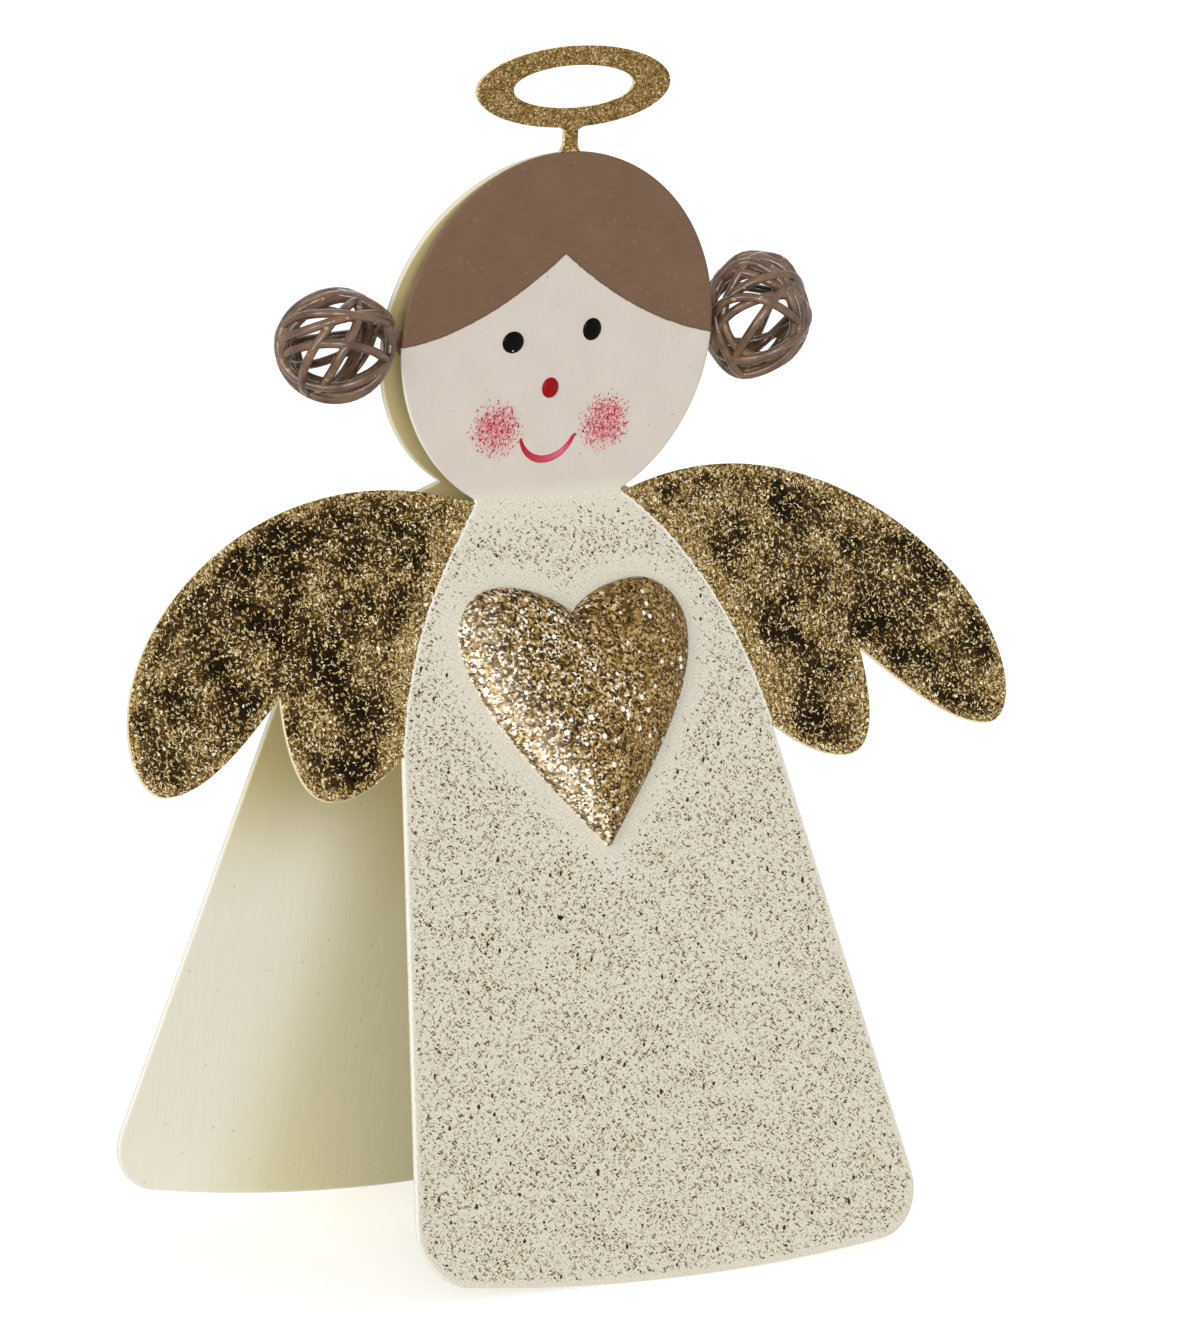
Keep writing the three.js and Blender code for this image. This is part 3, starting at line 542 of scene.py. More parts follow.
def mark_front(flat, depth):
    """Marks how far each point is from the hairline, the gold, the heart, the edge and the front face."""
    below_hair = flat[:, 1] < np.interp(flat[:, 0], hairline[:, 0], hairline[:, 1])
    span = [np.interp(-flat[:, 1], -g[:, 1], np.abs(g[:, 0])) for g in gold_edges]
    within = np.abs(flat[:, 0]) < np.where(flat[:, 0] < 0, *span)
    gold = np.minimum(*[distances(flat, g) for g in gold_edges]) * np.where(within, -1, 1)
    in_heart = inside(flat, heart_outline)
    mark(
        front,
        flat=flat,
        hair=distances(flat, hairline) * np.where(below_hair, -1, 1),
        gold=np.where(flat[:, 1] < wing_root[1], beyond_root(flat), gold),
        heart_gap=distances(flat, closed(heart_outline)) * np.where(in_heart, -1, 1),
        rim=distances(flat, closed(front_outline)),
        behind=depth,
    )


mark_front(front_flat, front_depth)


# The back sheet: a plain head and skirt with rounded shoulders

back_head = sheet_frame(BACK_NECK_Y, BACK_NECK_HEIGHT, BACK_HEAD_LEAN)
back_skirt = sheet_frame(BACK_NECK_Y, BACK_NECK_HEIGHT, BACK_SKIRT_LEAN)
back_length = BACK_NECK_HEIGHT / cos(radians(BACK_SKIRT_LEAN))
shoulder, shoulder_way, back_side = skirt_side(
    BACK_SKIRT_TOP_HALF, BACK_HEM_HALF, back_length, BACK_HEM_SAG, SHOULDER_DROP)
shoulder_reach = SHOULDER_REACH * (shoulder[0] - BACK_NECK_HALF)
back_neck = np.array([BACK_NECK_HALF, -BACK_BEND])
shoulder_out = back_neck + shoulder_reach * np.array([1, -tan(radians(SHOULDER_SLOPE))])
back_outline = mirrored(np.vstack([
    head_edge(BACK_HEAD_RADIUS, BACK_HEAD_CENTRE, BACK_NECK_HALF, BACK_BEND),
    bezier(back_neck, shoulder_out, shoulder - SHOULDER_HANDLE * SHOULDER_DROP * shoulder_way, shoulder),
    back_side,
]))


def fold_back(flat, depth):
    local = np.column_stack([flat, -depth])
    return np.where(flat[:, 1:] > 0, placed(back_head, local), placed(back_skirt, local))


back, back_flat, back_depth = sheet_object("back_sheet", [back_outline], [], fold_back)
below_shoulder = np.column_stack([np.abs(back_flat[:, 0]), back_flat[:, 1]]) - shoulder
side_gap = below_shoulder @ [shoulder_way[1], -shoulder_way[0]]
mark(back, flat=back_flat, rim=distances(back_flat, closed(back_outline)), side_gap=side_gap)


# The halo, with a flared foot that meets the head's edge

def halo_loops():
    swing = np.linspace(pi / 2, -pi / 2 + POST_TURN, 90)
    ring = np.column_stack([HALO_OUTER[0] * np.cos(swing), HALO_CENTRE + HALO_OUTER[1] * np.sin(swing)])
    post_top = (POST_HALF, HALO_CENTRE - HALO_OUTER[1] - POST_DROP)
    foot_top = (POST_HALF, HEAD_RADIUS + FOOT_HEIGHT)
    foot_end = (FOOT_HALF, sqrt(HEAD_RADIUS**2 - FOOT_HALF**2) - SEAT_DEPTH)
    foot_angle = atan2(foot_end[1], foot_end[0])
    outer = mirrored(np.vstack([
        ring,
        bezier(post_top, post_top, foot_top, foot_top, 0.4),
        bezier(foot_top, (POST_HALF, HEAD_RADIUS + 0.7), (POST_HALF + 0.4, foot_end[1] + 0.3), foot_end, 0.3),
        arc((0, 0), HEAD_RADIUS - SEAT_DEPTH, foot_angle, pi / 2, 0.4),
        [[0, HEAD_RADIUS - SEAT_DEPTH]],
    ]))
    turn = np.linspace(0, -2 * pi, 110, endpoint=False)
    hole = np.column_stack([HALO_INNER[0] * np.cos(turn), HALO_CENTRE + HALO_INNER[1] * np.sin(turn)])
    return [outer, hole]


def fold_halo(flat, depth):
    return placed(front_head, np.column_stack([flat + [0, HEAD_CENTRE], -depth]))


halo, _, halo_depth = sheet_object("halo_ring", halo_loops(), [], fold_halo, HALO_RIM)
mark(halo, behind=halo_depth)


# The heart: a glued dome

def heart_dome():
    """The dome, marked with how far each point is from the left flank, by itself and as a share of both."""
    outline, middle = heart_outline, np.array([0, -HEART_PEAK - HEART_DROP])
    count = len(outline)
    rings = [np.column_stack([outline, np.full(count, -SEAT_DEPTH)])]
    for level in np.linspace(0, pi / 2, 25, endpoint=False):
        shrunk = middle + (outline - middle) * cos(level) ** (2 / HEART_CROWN)
        height = HEART_WALL + (HEART_HEIGHT - HEART_WALL) * sin(level)
        rings.append(np.column_stack([shrunk, np.full(count, height)]))
    peak = [*middle, HEART_HEIGHT]
    obj = dome_object("heart_dome", front_skirt, rings, peak, range(count))
    low = outline[outline[:, 1] < -HEART_DROP - FLANK_TOP]
    flat = np.vstack(rings + [[peak]])[:, :2]
    left, right = (distances(flat, low[low[:, 0] * side >= 0]) for side in (-1, 1))
    mark(obj, flank=left, flank_share=left / (left + right + NEAR))
    return obj


heart = heart_dome()


# Features painted thick on the face

def paint_drop(name, x, drop, half_x, half_y, height, turn=0):
    """A low round drop of paint on the face, at a drop below the head's top; turn is in radians."""
    angles = np.linspace(0, 2 * pi, 40, endpoint=False)
    ring = np.column_stack([half_x * np.cos(angles), half_y * np.sin(angles)])
    spin = np.array([[cos(turn), -sin(turn)], [sin(turn), cos(turn)]])
    ring, centre = ring @ spin.T, np.array([x, HEAD_TOP - drop])
    rings = []
    for level in np.linspace(0, pi / 2, 8, endpoint=False):
        lift = np.full(len(ring), height * sin(level) - PAINT_DEPTH)
        rings.append(np.column_stack([centre + ring * cos(level), lift]))
    foot = range(len(ring))[::-1]
    return dome_object(name, front_head, rings, [*centre, height - PAINT_DEPTH], foot)


def mouth_stroke():
    """One brush stroke, thickest at the bottom of the smile, with a small hook at the right end."""
    smile = bezier(*from_top([(-5.7, 43.4), (-4.7, 47.8), (1.2, 47.9), (3.5, 44)]), step=0.25)
    hook = bezier(*from_top([(3.5, 44), (3.7, 43.6), (4, 43.3), (4.4, 43.3)]), step=0.2)
    line = np.vstack([smile, hook])
    across = unit(np.gradient(line, axis=0))[:, ::-1] * [-1, 1]
    share = np.linspace(0, 1, len(line))
    half = 0.2 + 0.42 * np.sin(pi * share) ** 0.6
    profile = [(-1, -PAINT_DEPTH), (-0.6, 0.1), (0, 0.15), (0.6, 0.1), (1, -PAINT_DEPTH)]
    rows = [np.column_stack([line + across * half[:, None] * a, np.full(len(line), h)]) for a, h in profile]
    vertices = np.stack(rows, axis=1).reshape(-1, 3)
    faces = closed_bands(len(line), len(profile))
    obj = mesh_object("mouth_stroke", placed(front_head, vertices), faces)
    sideways = np.tile([abs(a) for a, _ in profile], len(line))
    mark(obj, along=np.repeat(share, len(profile)), across=sideways)
    return obj


eyes = [
    paint_drop("left_eye", x=-8.15, drop=28.55, half_x=1.92, half_y=1.68, height=0.5),
    paint_drop("right_eye", x=5.95, drop=27.35, half_x=1.65, half_y=1.74, height=0.5, turn=-0.2),
]
# A painted highlight: a white dot of paint at the foot of the left eye stands for a glint on the glossy drop
glint = paint_drop("left_eye_glint", x=-8.3, drop=29.75, half_x=0.2, half_y=0.2, height=0.42)
nose = paint_drop("nose_drop", x=-0.95, drop=35.9, half_x=1.5, half_y=1.58, height=0.5)
mouth = mouth_stroke()


# The buns: one wire each, wound loosely into a hollow ball

def bun_path(seed, bulges):
    """Loops round a ball about the origin, each easing into the lean of the next."""
    chance = np.random.default_rng(seed)
    facing = Vector((0, 0, 1)).rotation_difference(Vector(BUN_AXIS))
    turns, offsets = [], []
    for loop in range(BUN_LOOPS + 1):
        lean = radians(chance.uniform(*LOW_LEAN) if loop % 5 < 2 else chance.uniform(*HIGH_LEAN))
        heading = chance.uniform(0, 2 * pi)
        axis = Vector((cos(heading), sin(heading), 0))
        turns.append(facing @ Quaternion(axis, lean) @ Quaternion((0, 0, 1), chance.uniform(-0.5, 0.5)))
        offsets.append(chance.uniform(-0.4, 0.4))
    reach = BUN_RADIUS - BUN_WIRE / 2
    phases = chance.uniform(0, 2 * pi, 3)
    path = []
    for i in range(BUN_LOOPS * BUN_STEPS):
        loop, share = divmod(i, BUN_STEPS)
        share /= BUN_STEPS
        eased = share * share * (3 - 2 * share)
        turn = turns[loop].slerp(turns[loop + 1], eased)
        offset = offsets[loop] + (offsets[loop + 1] - offsets[loop]) * eased
        t = i / BUN_STEPS
        wander = sin(1.9 * t + phases[0]) + 0.6 * sin(5.3 * t + phases[1]) + 0.4 * sin(11.7 * t + phases[2])
        radius = reach * (LOOP_RADIUS + LOOP_WANDER * wander)
        angle, round_it = 2 * pi * share, sqrt(1 - offset**2)
        out = turn @ Vector((round_it * cos(angle), round_it * sin(angle), offset))
        for towards, share_out in bulges:
            radius += reach * share_out * max(0, out.dot(Vector(towards).normalized())) ** BULGE_POWER
        path.append(out * radius)
    return np.array(path)


def bun(name, side, seed, bulges, shape):
    path = bun_path(seed, bulges) * shape + [side * BUN_X, HEAD_CENTRE, -BUN_SETBACK]
    return tube(name, placed(front_head, path), BUN_WIRE / 2, BUN_SIDES)


buns = [
    bun("left_wire_bun", -1, seed=21, bulges=LEFT_BUN_BULGES, shape=LEFT_BUN_SHAPE),
    bun("right_wire_bun", 1, seed=34, bulges=RIGHT_BUN_BULGES, shape=RIGHT_BUN_SHAPE),
]


# The torsion spring: a close coil on the pin with a leg down each skirt

def leg_end(lean, lift, towards_back):
    """The end of a leg as (y, z) from the pin: down the sheet from the pin's foot, and lifted off it."""
    normal = np.array([cos(lean), sin(lean)]) * towards_back
    down = np.array([sin(lean), -cos(lean)])
    return normal * (SPRING_LIFT - lift) + down * SPRING_LEG


def touch_angle(end, side):
    return atan2(end[1], end[0]) + side * acos(SPRING_RADIUS / np.linalg.norm(end))


def spring_path():
    front_end = leg_end(-radians(SKIRT_LEAN), PIN_LIFT[0], 1)
    back_end = leg_end(radians(BACK_SKIRT_LEAN), PIN_LIFT[1], -1)
    first = touch_angle(front_end, -1) % (2 * pi)
    last = touch_angle(back_end, 1) % (2 * pi)
    sweep = 2 * pi * SPRING_TURNS + first - last
    half = SPRING_PITCH * sweep / (4 * pi)
    steps = round(sweep / (2 * pi) * SPRING_STEPS)
    angles = first - np.linspace(0, sweep, steps + 1)
    x = np.linspace(-half, half, steps + 1)
    coil = np.column_stack([x, SPRING_RADIUS * np.cos(angles), SPRING_RADIUS * np.sin(angles)])
    legs = []
    for end, touch in (((-half, *front_end), coil[0]), ((half, *back_end), coil[-1])):
        share = np.linspace(0, 1, SPRING_LEG_STEPS, endpoint=False)[:, None]
        legs.append(np.array(end) + share * (touch - np.array(end)))
    return np.vstack([legs[0], coil, legs[1][::-1]]) + [0, PIN_Y, PIN_Z], half


spring_line, spring_half = spring_path()
spring = tube("spring_coil", spring_line, SPRING_WIRE / 2, SPRING_SIDES)


# Materials

def srgb(red, green, blue):
    """A colour given as it looks on screen, from 0 to 255."""
    parts = [c / 255 for c in (red, green, blue)]
    return tuple(p / 12.92 if p <= 0.04045 else ((p + 0.055) / 1.055) ** 2.4 for p in parts) + (1,)


class Paint:
    """A material's node tree. Methods that work something out return the socket that holds it."""

    def __init__(self, name, **settings):
        self.material = bpy.data.materials.new(name)
        self.material.use_nodes = True
        self.tree = self.material.node_tree
        self.shader = self.tree.nodes["Principled BSDF"]
        self.set(**settings)

    def set(self, **settings):
        """Feeds the shader's inputs and returns the material."""
        for key, value in settings.items():
            self.feed(self.shader.inputs[key.replace("_", " ").title().replace("Ior", "IOR")], value)
        return self.material

    def feed(self, socket, value):
        if isinstance(value, bpy.types.NodeSocket):
            self.tree.links.new(value, socket)
        else:
            socket.default_value = value

    def node(self, kind, inputs, **properties):
        made = self.tree.nodes.new("ShaderNode" + kind)
        for key, value in properties.items():
            setattr(made, key, value)
        for key, value in inputs.items():
            self.feed(made.inputs[key], value)
        return made

    def attribute(self, name, output="Fac"):
        return self.node("Attribute", {}, attribute_name=name).outputs[output]

    def place(self):
        """Places in millimetres in the piece's own frame."""
        return self.vector("MULTIPLY", self.node("TexCoord", {}).outputs["Object"], [1 / MM] * 3)

    def math(self, operation, *values):
        return self.node("Math", dict(enumerate(values)), operation=operation).outputs[0]

    def times(self, first, second):
        return self.math("MULTIPLY", first, second)

    def linear(self, value, slope, start):
        return self.math("MULTIPLY_ADD", value, slope, start)

    def vector(self, operation, *values, output=0):
        return self.node("VectorMath", dict(enumerate(values)), operation=operation).outputs[output]

    def step(self, value, low, high, start=0.0, end=1.0):
        """Goes smoothly from start to end as value goes from low to high."""
        inputs = {"Value": value, "From Min": low, "From Max": high, "To Min": start, "To Max": end}
        return self.node("MapRange", inputs, interpolation_type="SMOOTHSTEP").outputs[0]

    def mix(self, share, *colours):
        """Goes from the first colour to the second as share goes from 0 to 1."""
        first, second = (srgb(*c) if isinstance(c, tuple) else c for c in colours)
        return self.node("Mix", {0: share, 6: first, 7: second}, data_type="RGBA").outputs[2]

    def ramp(self, value, stops):
        made = self.node("ValToRGB", {"Fac": value})
        stretch = made.color_ramp.elements
        while len(stretch) < len(stops):
            stretch.new(1)
        for element, (position, colour) in zip(stretch, stops):
            element.position = position
            element.color = srgb(*colour)
        return made.outputs["Color"]

    def noise(self, at, size, detail=2.0, output="Fac"):
        """Soft random values whose features are about size across."""
        return self.node("TexNoise", {"Vector": at, "Scale": 1 / size, "Detail": detail}).outputs[output]

    def stretched(self, at, cell, stretch, turn):
        inputs = {"Vector": at, "Rotation": (0, 0, radians(turn)), "Scale": (cell, cell * stretch, cell)}
        return self.node("Mapping", inputs, vector_type="TEXTURE").outputs[0]

    def warped(self, at, size, amount):
        return self.vector("MULTIPLY_ADD", self.noise(at, size, 2, "Color"), [amount] * 3, at)

    def cells(self, at, dimensions="3D"):
        """Random cells one unit across: the distance to the middle, and a cell's two numbers and colour."""
        found = self.node("TexVoronoi", {"Vector": at, "Scale": 1.0}, voronoi_dimensions=dimensions)
        first, second, _ = self.node("SeparateColor", {"Color": found.outputs["Color"]}).outputs
        return found.outputs["Distance"], first, second, found.outputs["Color"]

    def flecks(self, at, cell, stretch, turn, size, share, dimensions="2D"):
        """How much scattered specks cover each point: at most one in a cell, in that share of the cells."""
        distance, chance, shown, _ = self.cells(self.stretched(at, cell, stretch, turn), dimensions)
        reach = self.linear(chance, size * 0.6, size * 0.4)
        cover = self.step(self.math("SUBTRACT", reach, distance), 0.0, size * 0.3)
        return self.times(cover, self.math("LESS_THAN", shown, share))

    def bump(self, height, depth):
        return self.node("Bump", {"Height": height, "Distance": depth * MM, "Strength": 1.0}).outputs[0]

    def facets(self, colour, amount):
        """The normal tilted at random in each cell, for glitter."""
        normal = self.node("NewGeometry", {}).outputs["Normal"]
        tilt = self.vector("MULTIPLY_ADD", colour, [amount] * 3, [-amount / 2] * 3)
        return self.vector("NORMALIZE", self.vector("ADD", normal, tilt))


CREAM = (221, 215, 198)
FACE = (209, 199, 188)


def head_paint():
    """Brown hair above a ragged line, and a pale face below it with two stippled cheeks."""
    p = Paint("face_and_hair", specular_ior_level=0.3)
    flat, hair, behind = p.attribute("flat", "Vector"), p.attribute("hair"), p.attribute("behind")
    height = p.node("SeparateXYZ", {0: flat}).outputs[1]
    cloud = p.noise(flat, 7, 4)
    grain = p.noise(flat, 0.6, 2)
    fine = p.warped(flat, 0.5, 0.35)
    skin = p.mix(p.step(cloud, 0.3, 0.75), FACE, (214, 204, 193))
    skin = p.mix(p.step(height, 3, -0.5), skin, CREAM)
    away = [p.vector("DISTANCE", flat, (x, HEAD_TOP - drop, 0), output="Value") for x, drop in CHEEKS]
    blush = p.step(p.math("MINIMUM", *away), 5.5, 0.9)
    curly = p.warped(flat, 0.8, 0.9)
    skin = p.mix(p.step(p.noise(flat, 0.3, 3), 0.3, 0.7, 0.0, 0.12), skin, (176, 162, 148))
    skin = p.mix(p.times(blush, 0.32), skin, (214, 112, 130))
    for cell, turn, size, strength, red in (
        (0.21, 35, 0.62, 0.85, (206, 70, 100)),
        (0.22, 100, 0.6, 0.95, (186, 30, 62)),
        (0.24, 160, 0.54, 1.0, (152, 6, 34)),
    ):
        stroke = p.flecks(curly, cell, 3.4, turn, size, p.times(blush, 0.85))
        skin = p.mix(p.times(stroke, strength), skin, red)
    specks = p.flecks(fine, 2.6, 1.3, 70, 0.07, 0.14)
    skin = p.mix(p.times(specks, 0.5), skin, (128, 112, 98))
    streaks = p.noise(p.stretched(flat, 2.6, 0.12, 4), 1, 3)
    brown = p.mix(p.step(streaks, 0.25, 0.75), (110, 84, 62), (120, 92, 70))
    brown = p.mix(p.step(p.noise(flat, 0.3, 3), 0.3, 0.7, 0.0, 0.3), brown, (92, 68, 50))
    brown = p.mix(p.times(p.step(cloud, 0.4, 0.7), 0.35), brown, (122, 96, 75))
    pale = p.flecks(fine, 1.1, 1.3, 20, 0.12, 0.24)
    brown = p.mix(p.times(pale, 0.5), brown, (170, 148, 126))
    lowered = p.math("SUBTRACT", hair, 0.15)
    line = p.step(p.math("ABSOLUTE", lowered), 0.25, 0.05)
    brown = p.mix(p.times(line, 0.45), brown, (84, 60, 44))
    ragged = p.linear(p.noise(flat, 1.3, 2), 0.3, lowered)
    in_hair = p.step(ragged, -0.05, 0.07)
    colour = p.mix(in_hair, skin, brown)
    edge = p.step(behind, 0.05, 0.16)
    rim = p.mix(in_hair, (244, 240, 230), (128, 100, 76))
    return p.set(
        base_color=p.mix(edge, colour, rim),
        roughness=p.step(grain, 0.2, 0.8, 0.52, 0.68),
        normal=p.bump(p.math("ADD", grain, p.times(streaks, 0.4)), 0.02),
    )


def body_paint():
    """Cream with sprayed flecks on the dress, and worn gold leaf on the wings."""
    p = Paint("dress_and_wings", specular_ior_level=0.12)
    flat, gold, behind = p.attribute("flat", "Vector"), p.attribute("gold"), p.attribute("behind")
    rim, heart_gap = p.attribute("rim"), p.attribute("heart_gap")
    x, height, _ = p.node("SeparateXYZ", {0: flat}).outputs
    wavy = p.warped(flat, 0.7, 0.6)
    patch = p.noise(flat, 6, 3)
    grain = p.noise(flat, 0.32, 2)
    room = p.times(p.step(heart_gap, 1.0, 6.5), p.step(height, 0.5, -9))
    room = p.times(room, p.step(rim, 0.5, 1.4))
    crowd = p.times(room, p.step(patch, 0.32, 0.62, 0.72, 1.1))
    dress = p.mix(p.step(grain, 0.3, 0.7), (206, 199, 180), (230, 225, 211))
    layers = [
        (0.32, 3.0, 15, 0.36, 0.6, 0.45, (164, 148, 84)),
        (0.36, 3.2, 75, 0.34, 0.6, 0.65, (138, 114, 40)),
        (0.41, 3.2, 130, 0.31, 0.6, 0.95, (114, 86, 4)),
        (0.46, 3.0, 45, 0.31, 0.55, 1.0, (96, 68, 0)),
        (0.7, 2.4, 100, 0.23, 0.42, 1.0, (78, 50, 0)),
        (2.2, 1.6, 160, 0.14, 0.4, 1.0, (66, 42, 0)),
    ]
    for cell, stretch, turn, size, share, strength, colour in layers:
        cover = p.flecks(wavy, cell, stretch, turn, size, p.times(crowd, share))
        dress = p.mix(p.times(cover, strength), dress, colour)
    curls = p.warped(flat, 0.8, 1.2)
    margin = p.math("ADD", p.step(gold, 5.5, 1.0, 0.0, 0.3), p.step(rim, 2.4, 0.4, 0.0, 0.2))
    leafed = p.math("ADD", margin, p.linear(p.noise(flat, 2.2, 4), 0.35, p.noise(flat, 9, 3)))
    right_root = p.times(p.step(x, 0, 20), p.step(x, 55, 35, 0.0, 0.06))
    leafed = p.step(p.math("ADD", leafed, right_root), 0.52, 1.0)
    leaf = p.mix(leafed, (30, 19, 5), (120, 92, 48))
    shade = p.mix(leafed, (8, 4, 0), (40, 26, 7))
    shine = p.ramp(p.noise(curls, 0.5, 2), [
        (0.3, (148, 116, 56)),
        (0.5, (212, 182, 118)),
        (0.64, (255, 248, 216)),
    ])
    relief = 0.0
    for turn, cell in ((60, 0.34), (150, 0.3)):
        dark_stroke = p.flecks(curls, cell, 2.4, turn, 0.52, p.step(margin, 0.0, 0.5, 0.75, 0.45))
        leaf = p.mix(p.times(dark_stroke, 0.9), leaf, shade)
    for turn, cell in ((20, 0.27), (85, 0.3), (140, 0.33)):
        bright_stroke = p.flecks(curls, cell, 3.0, turn, 0.48, p.step(leafed, 0.0, 1.0, 0.24, 0.74))
        leaf = p.mix(bright_stroke, leaf, shine)
        relief = p.math("ADD", bright_stroke, relief)
    ragged = p.linear(p.noise(flat, 0.8, 2), 0.7, p.math("SUBTRACT", gold, 0.35))
    on_wing = p.step(ragged, -0.05, 0.05)
    stray = p.vector("DISTANCE", p.warped(flat, 0.45, 1.0), STRAY_TOUCH, output="Value")
    dress = p.mix(p.step(stray, 0.52, 0.42), dress, (24, 20, 24))
    white_line = p.step(p.math("ABSOLUTE", p.math("ADD", ragged, 0.22)), 0.3, 0.12)
    dress = p.mix(p.times(white_line, 0.7), dress, (244, 241, 230))
    colour_all = p.mix(on_wing, dress, leaf)
    edge = p.step(behind, 0.05, 0.16)
    edge_paint = p.mix(on_wing, (242, 238, 226), (236, 224, 190))
    return p.set(
        base_color=p.mix(edge, colour_all, edge_paint),
        metallic=p.times(on_wing, 0.7),
        roughness=p.linear(on_wing, -0.12, 0.58),
        normal=p.bump(p.mix(on_wing, p.noise(flat, 0.5, 2), relief), 0.05),
    )


def cream_paint(name, dark, light, inner=None):
    """Brushed cream paint, paler along cut edges; an inner face gets painted shade, a yellow cream for the
    shadow and bounce between the sheets, and a paler painted lit strip along its lower sides.
    """
    p = Paint(name, specular_ior_level=0.3)
    flat, rim = p.attribute("flat", "Vector"), p.attribute("rim")
    cloud, grain = p.noise(flat, 14, 4), p.noise(flat, 0.7, 2)
    strokes = p.noise(p.stretched(flat, 0.5, 24, 4), 1, 3)
    colour = p.mix(p.step(cloud, 0.3, 0.7), dark, light)
    # On an inner face the colour is painted light and shade: inner is the painted shade low down, a yellower
    # painted shade higher up and on the head, and a pale painted lit strip near the lower sides
    if inner is not None:
        height = p.node("SeparateXYZ", {0: flat}).outputs[1]
        painted_lit_strip = p.times(p.step(p.attribute("side_gap"), 34, 13), p.step(height, -42, -72))
        painted_shade = p.mix(p.step(height, -78, -48), inner, (199, 185, 134))
        painted_shade = p.mix(p.step(height, -12, 2), painted_shade, (204, 188, 138))
        colour = p.mix(painted_lit_strip, painted_shade, (234, 231, 217))
    colour = p.mix(p.step(strokes, 0.35, 0.7, 0.0, 0.08), colour, (198, 188, 160))
    colour = p.mix(p.step(rim, 0.55, 0.15, 0.0, 0.6), colour, (244, 240, 230))
    specks = p.flecks(flat, 2.6, 1.3, 40, 0.09, 0.2)
    return p.set(
        base_color=p.mix(p.times(specks, 0.35), colour, (150, 138, 110)),
        roughness=p.step(strokes, 0.25, 0.75, 0.44, 0.6),
        normal=p.bump(p.linear(grain, 0.3, strokes), 0.035),
    )


def glitter():
    """Gold glitter, with a painted highlight on the heart's left flank: whiter there, with more contrast and
    denser white flakes.
    """
    p = Paint("heart_glitter", metallic=0.6, specular_ior_level=0.35)
    at = p.place()
    _, chance, other, colour = p.cells(p.stretched(p.warped(at, 0.8, 0.6), 0.33, 1.5, 35))
    big_distance, big_chance, big_other, _ = p.cells(p.stretched(at, 1.0, 1, 0))
    cloud = p.noise(at, 5, 3)
    flank, flank_share = p.attribute("flank"), p.attribute("flank_share")
    # A painted highlight on the lower left flank, where the lamps catch the glitter
    painted_highlight = p.times(p.step(flank_share, 0.5, 0.15), p.step(flank, 9.5, 0.5))
    painted_highlight = p.times(painted_highlight, p.step(cloud, 0.25, 0.6, 0.5, 1.0))
    # Painted glints: the tone has more contrast towards the left flank
    painted_glint_contrast = p.step(p.linear(cloud, -0.9, flank_share), 0.42, -0.2)
    contrast = p.linear(painted_glint_contrast, 0.5, 0.78)
    tone = p.linear(cloud, 0.3, 0.25)
    tone = p.linear(p.math("SUBTRACT", chance, 0.5), contrast, tone)
    tone = p.linear(painted_highlight, 0.2, tone)
    base = p.ramp(tone, [
        (0.0, (30, 19, 3)),
        (0.28, (96, 68, 22)),
        (0.55, (150, 117, 58)),
        (0.8, (206, 178, 120)),
        (1.0, (255, 250, 236)),
    ])
    base = p.mix(p.times(painted_highlight, 0.1), base, (250, 244, 228))
    dot = p.step(p.math("SUBTRACT", p.times(big_chance, 0.5), big_distance), 0.0, 0.08)
    # More white flakes where the painted highlight lies
    dot = p.times(dot, p.math("LESS_THAN", big_other, p.linear(painted_highlight, 0.45, 0.27)))
    return p.set(
        base_color=p.mix(p.times(dot, 0.9), base, (253, 250, 242)),
        roughness=p.step(other, 0.0, 1.0, 0.2, 0.42),
        normal=p.facets(colour, 0.55),
    )


def halo_gold():
    """Fine gold glitter, paler on the cut edge."""
    p = Paint("halo_gold", metallic=0.8)
    at = p.place()
    _, chance, other, colour = p.cells(p.stretched(p.warped(at, 0.6, 0.6), 0.2, 1.7, 30))
    cloud = p.noise(at, 3, 3)
    tone = p.linear(chance, 0.85, p.linear(cloud, 0.3, -0.1))
    base = p.ramp(tone, [
        (0.0, (58, 38, 8)),
        (0.4, (119, 91, 43)),
        (0.7, (156, 126, 70)),
        (1.0, (236, 216, 172)),
    ])
    behind = p.attribute("behind")
    edge = p.times(p.step(behind, 0.05, 0.16), p.step(behind, 0.76, 0.66, 0.0, 0.7))
    return p.set(
        base_color=p.mix(edge, base, (238, 224, 186)),
        roughness=p.step(other, 0.0, 1.0, 0.25, 0.5),
        normal=p.facets(colour, 0.5),
    )


def wire_paint():
    """Glossy brown paint, paler in scattered spots."""
    p = Paint("wire_brown", roughness=0.2, specular_ior_level=0.55)
    at = p.place()
    cloud, grain = p.noise(at, 3, 3), p.noise(at, 0.4, 2)
    brown = p.mix(p.step(cloud, 0.3, 0.7), (80, 56, 39), (122, 91, 68))
    pale_spots = p.flecks(at, 0.8, 1.6, 30, 0.4, 0.14, "3D")
    return p.set(base_color=p.mix(p.times(pale_spots, 0.6), brown, (196, 164, 116)), normal=p.bump(grain, 0.04))


def gloss(name, dark, light, roughness, specular):
    p = Paint(name, roughness=roughness, specular_ior_level=specular)
    grain = p.noise(p.place(), 0.5, 3)
    return p.set(base_color=p.mix(p.step(grain, 0.3, 0.7), dark, light), normal=p.bump(grain, 0.01))


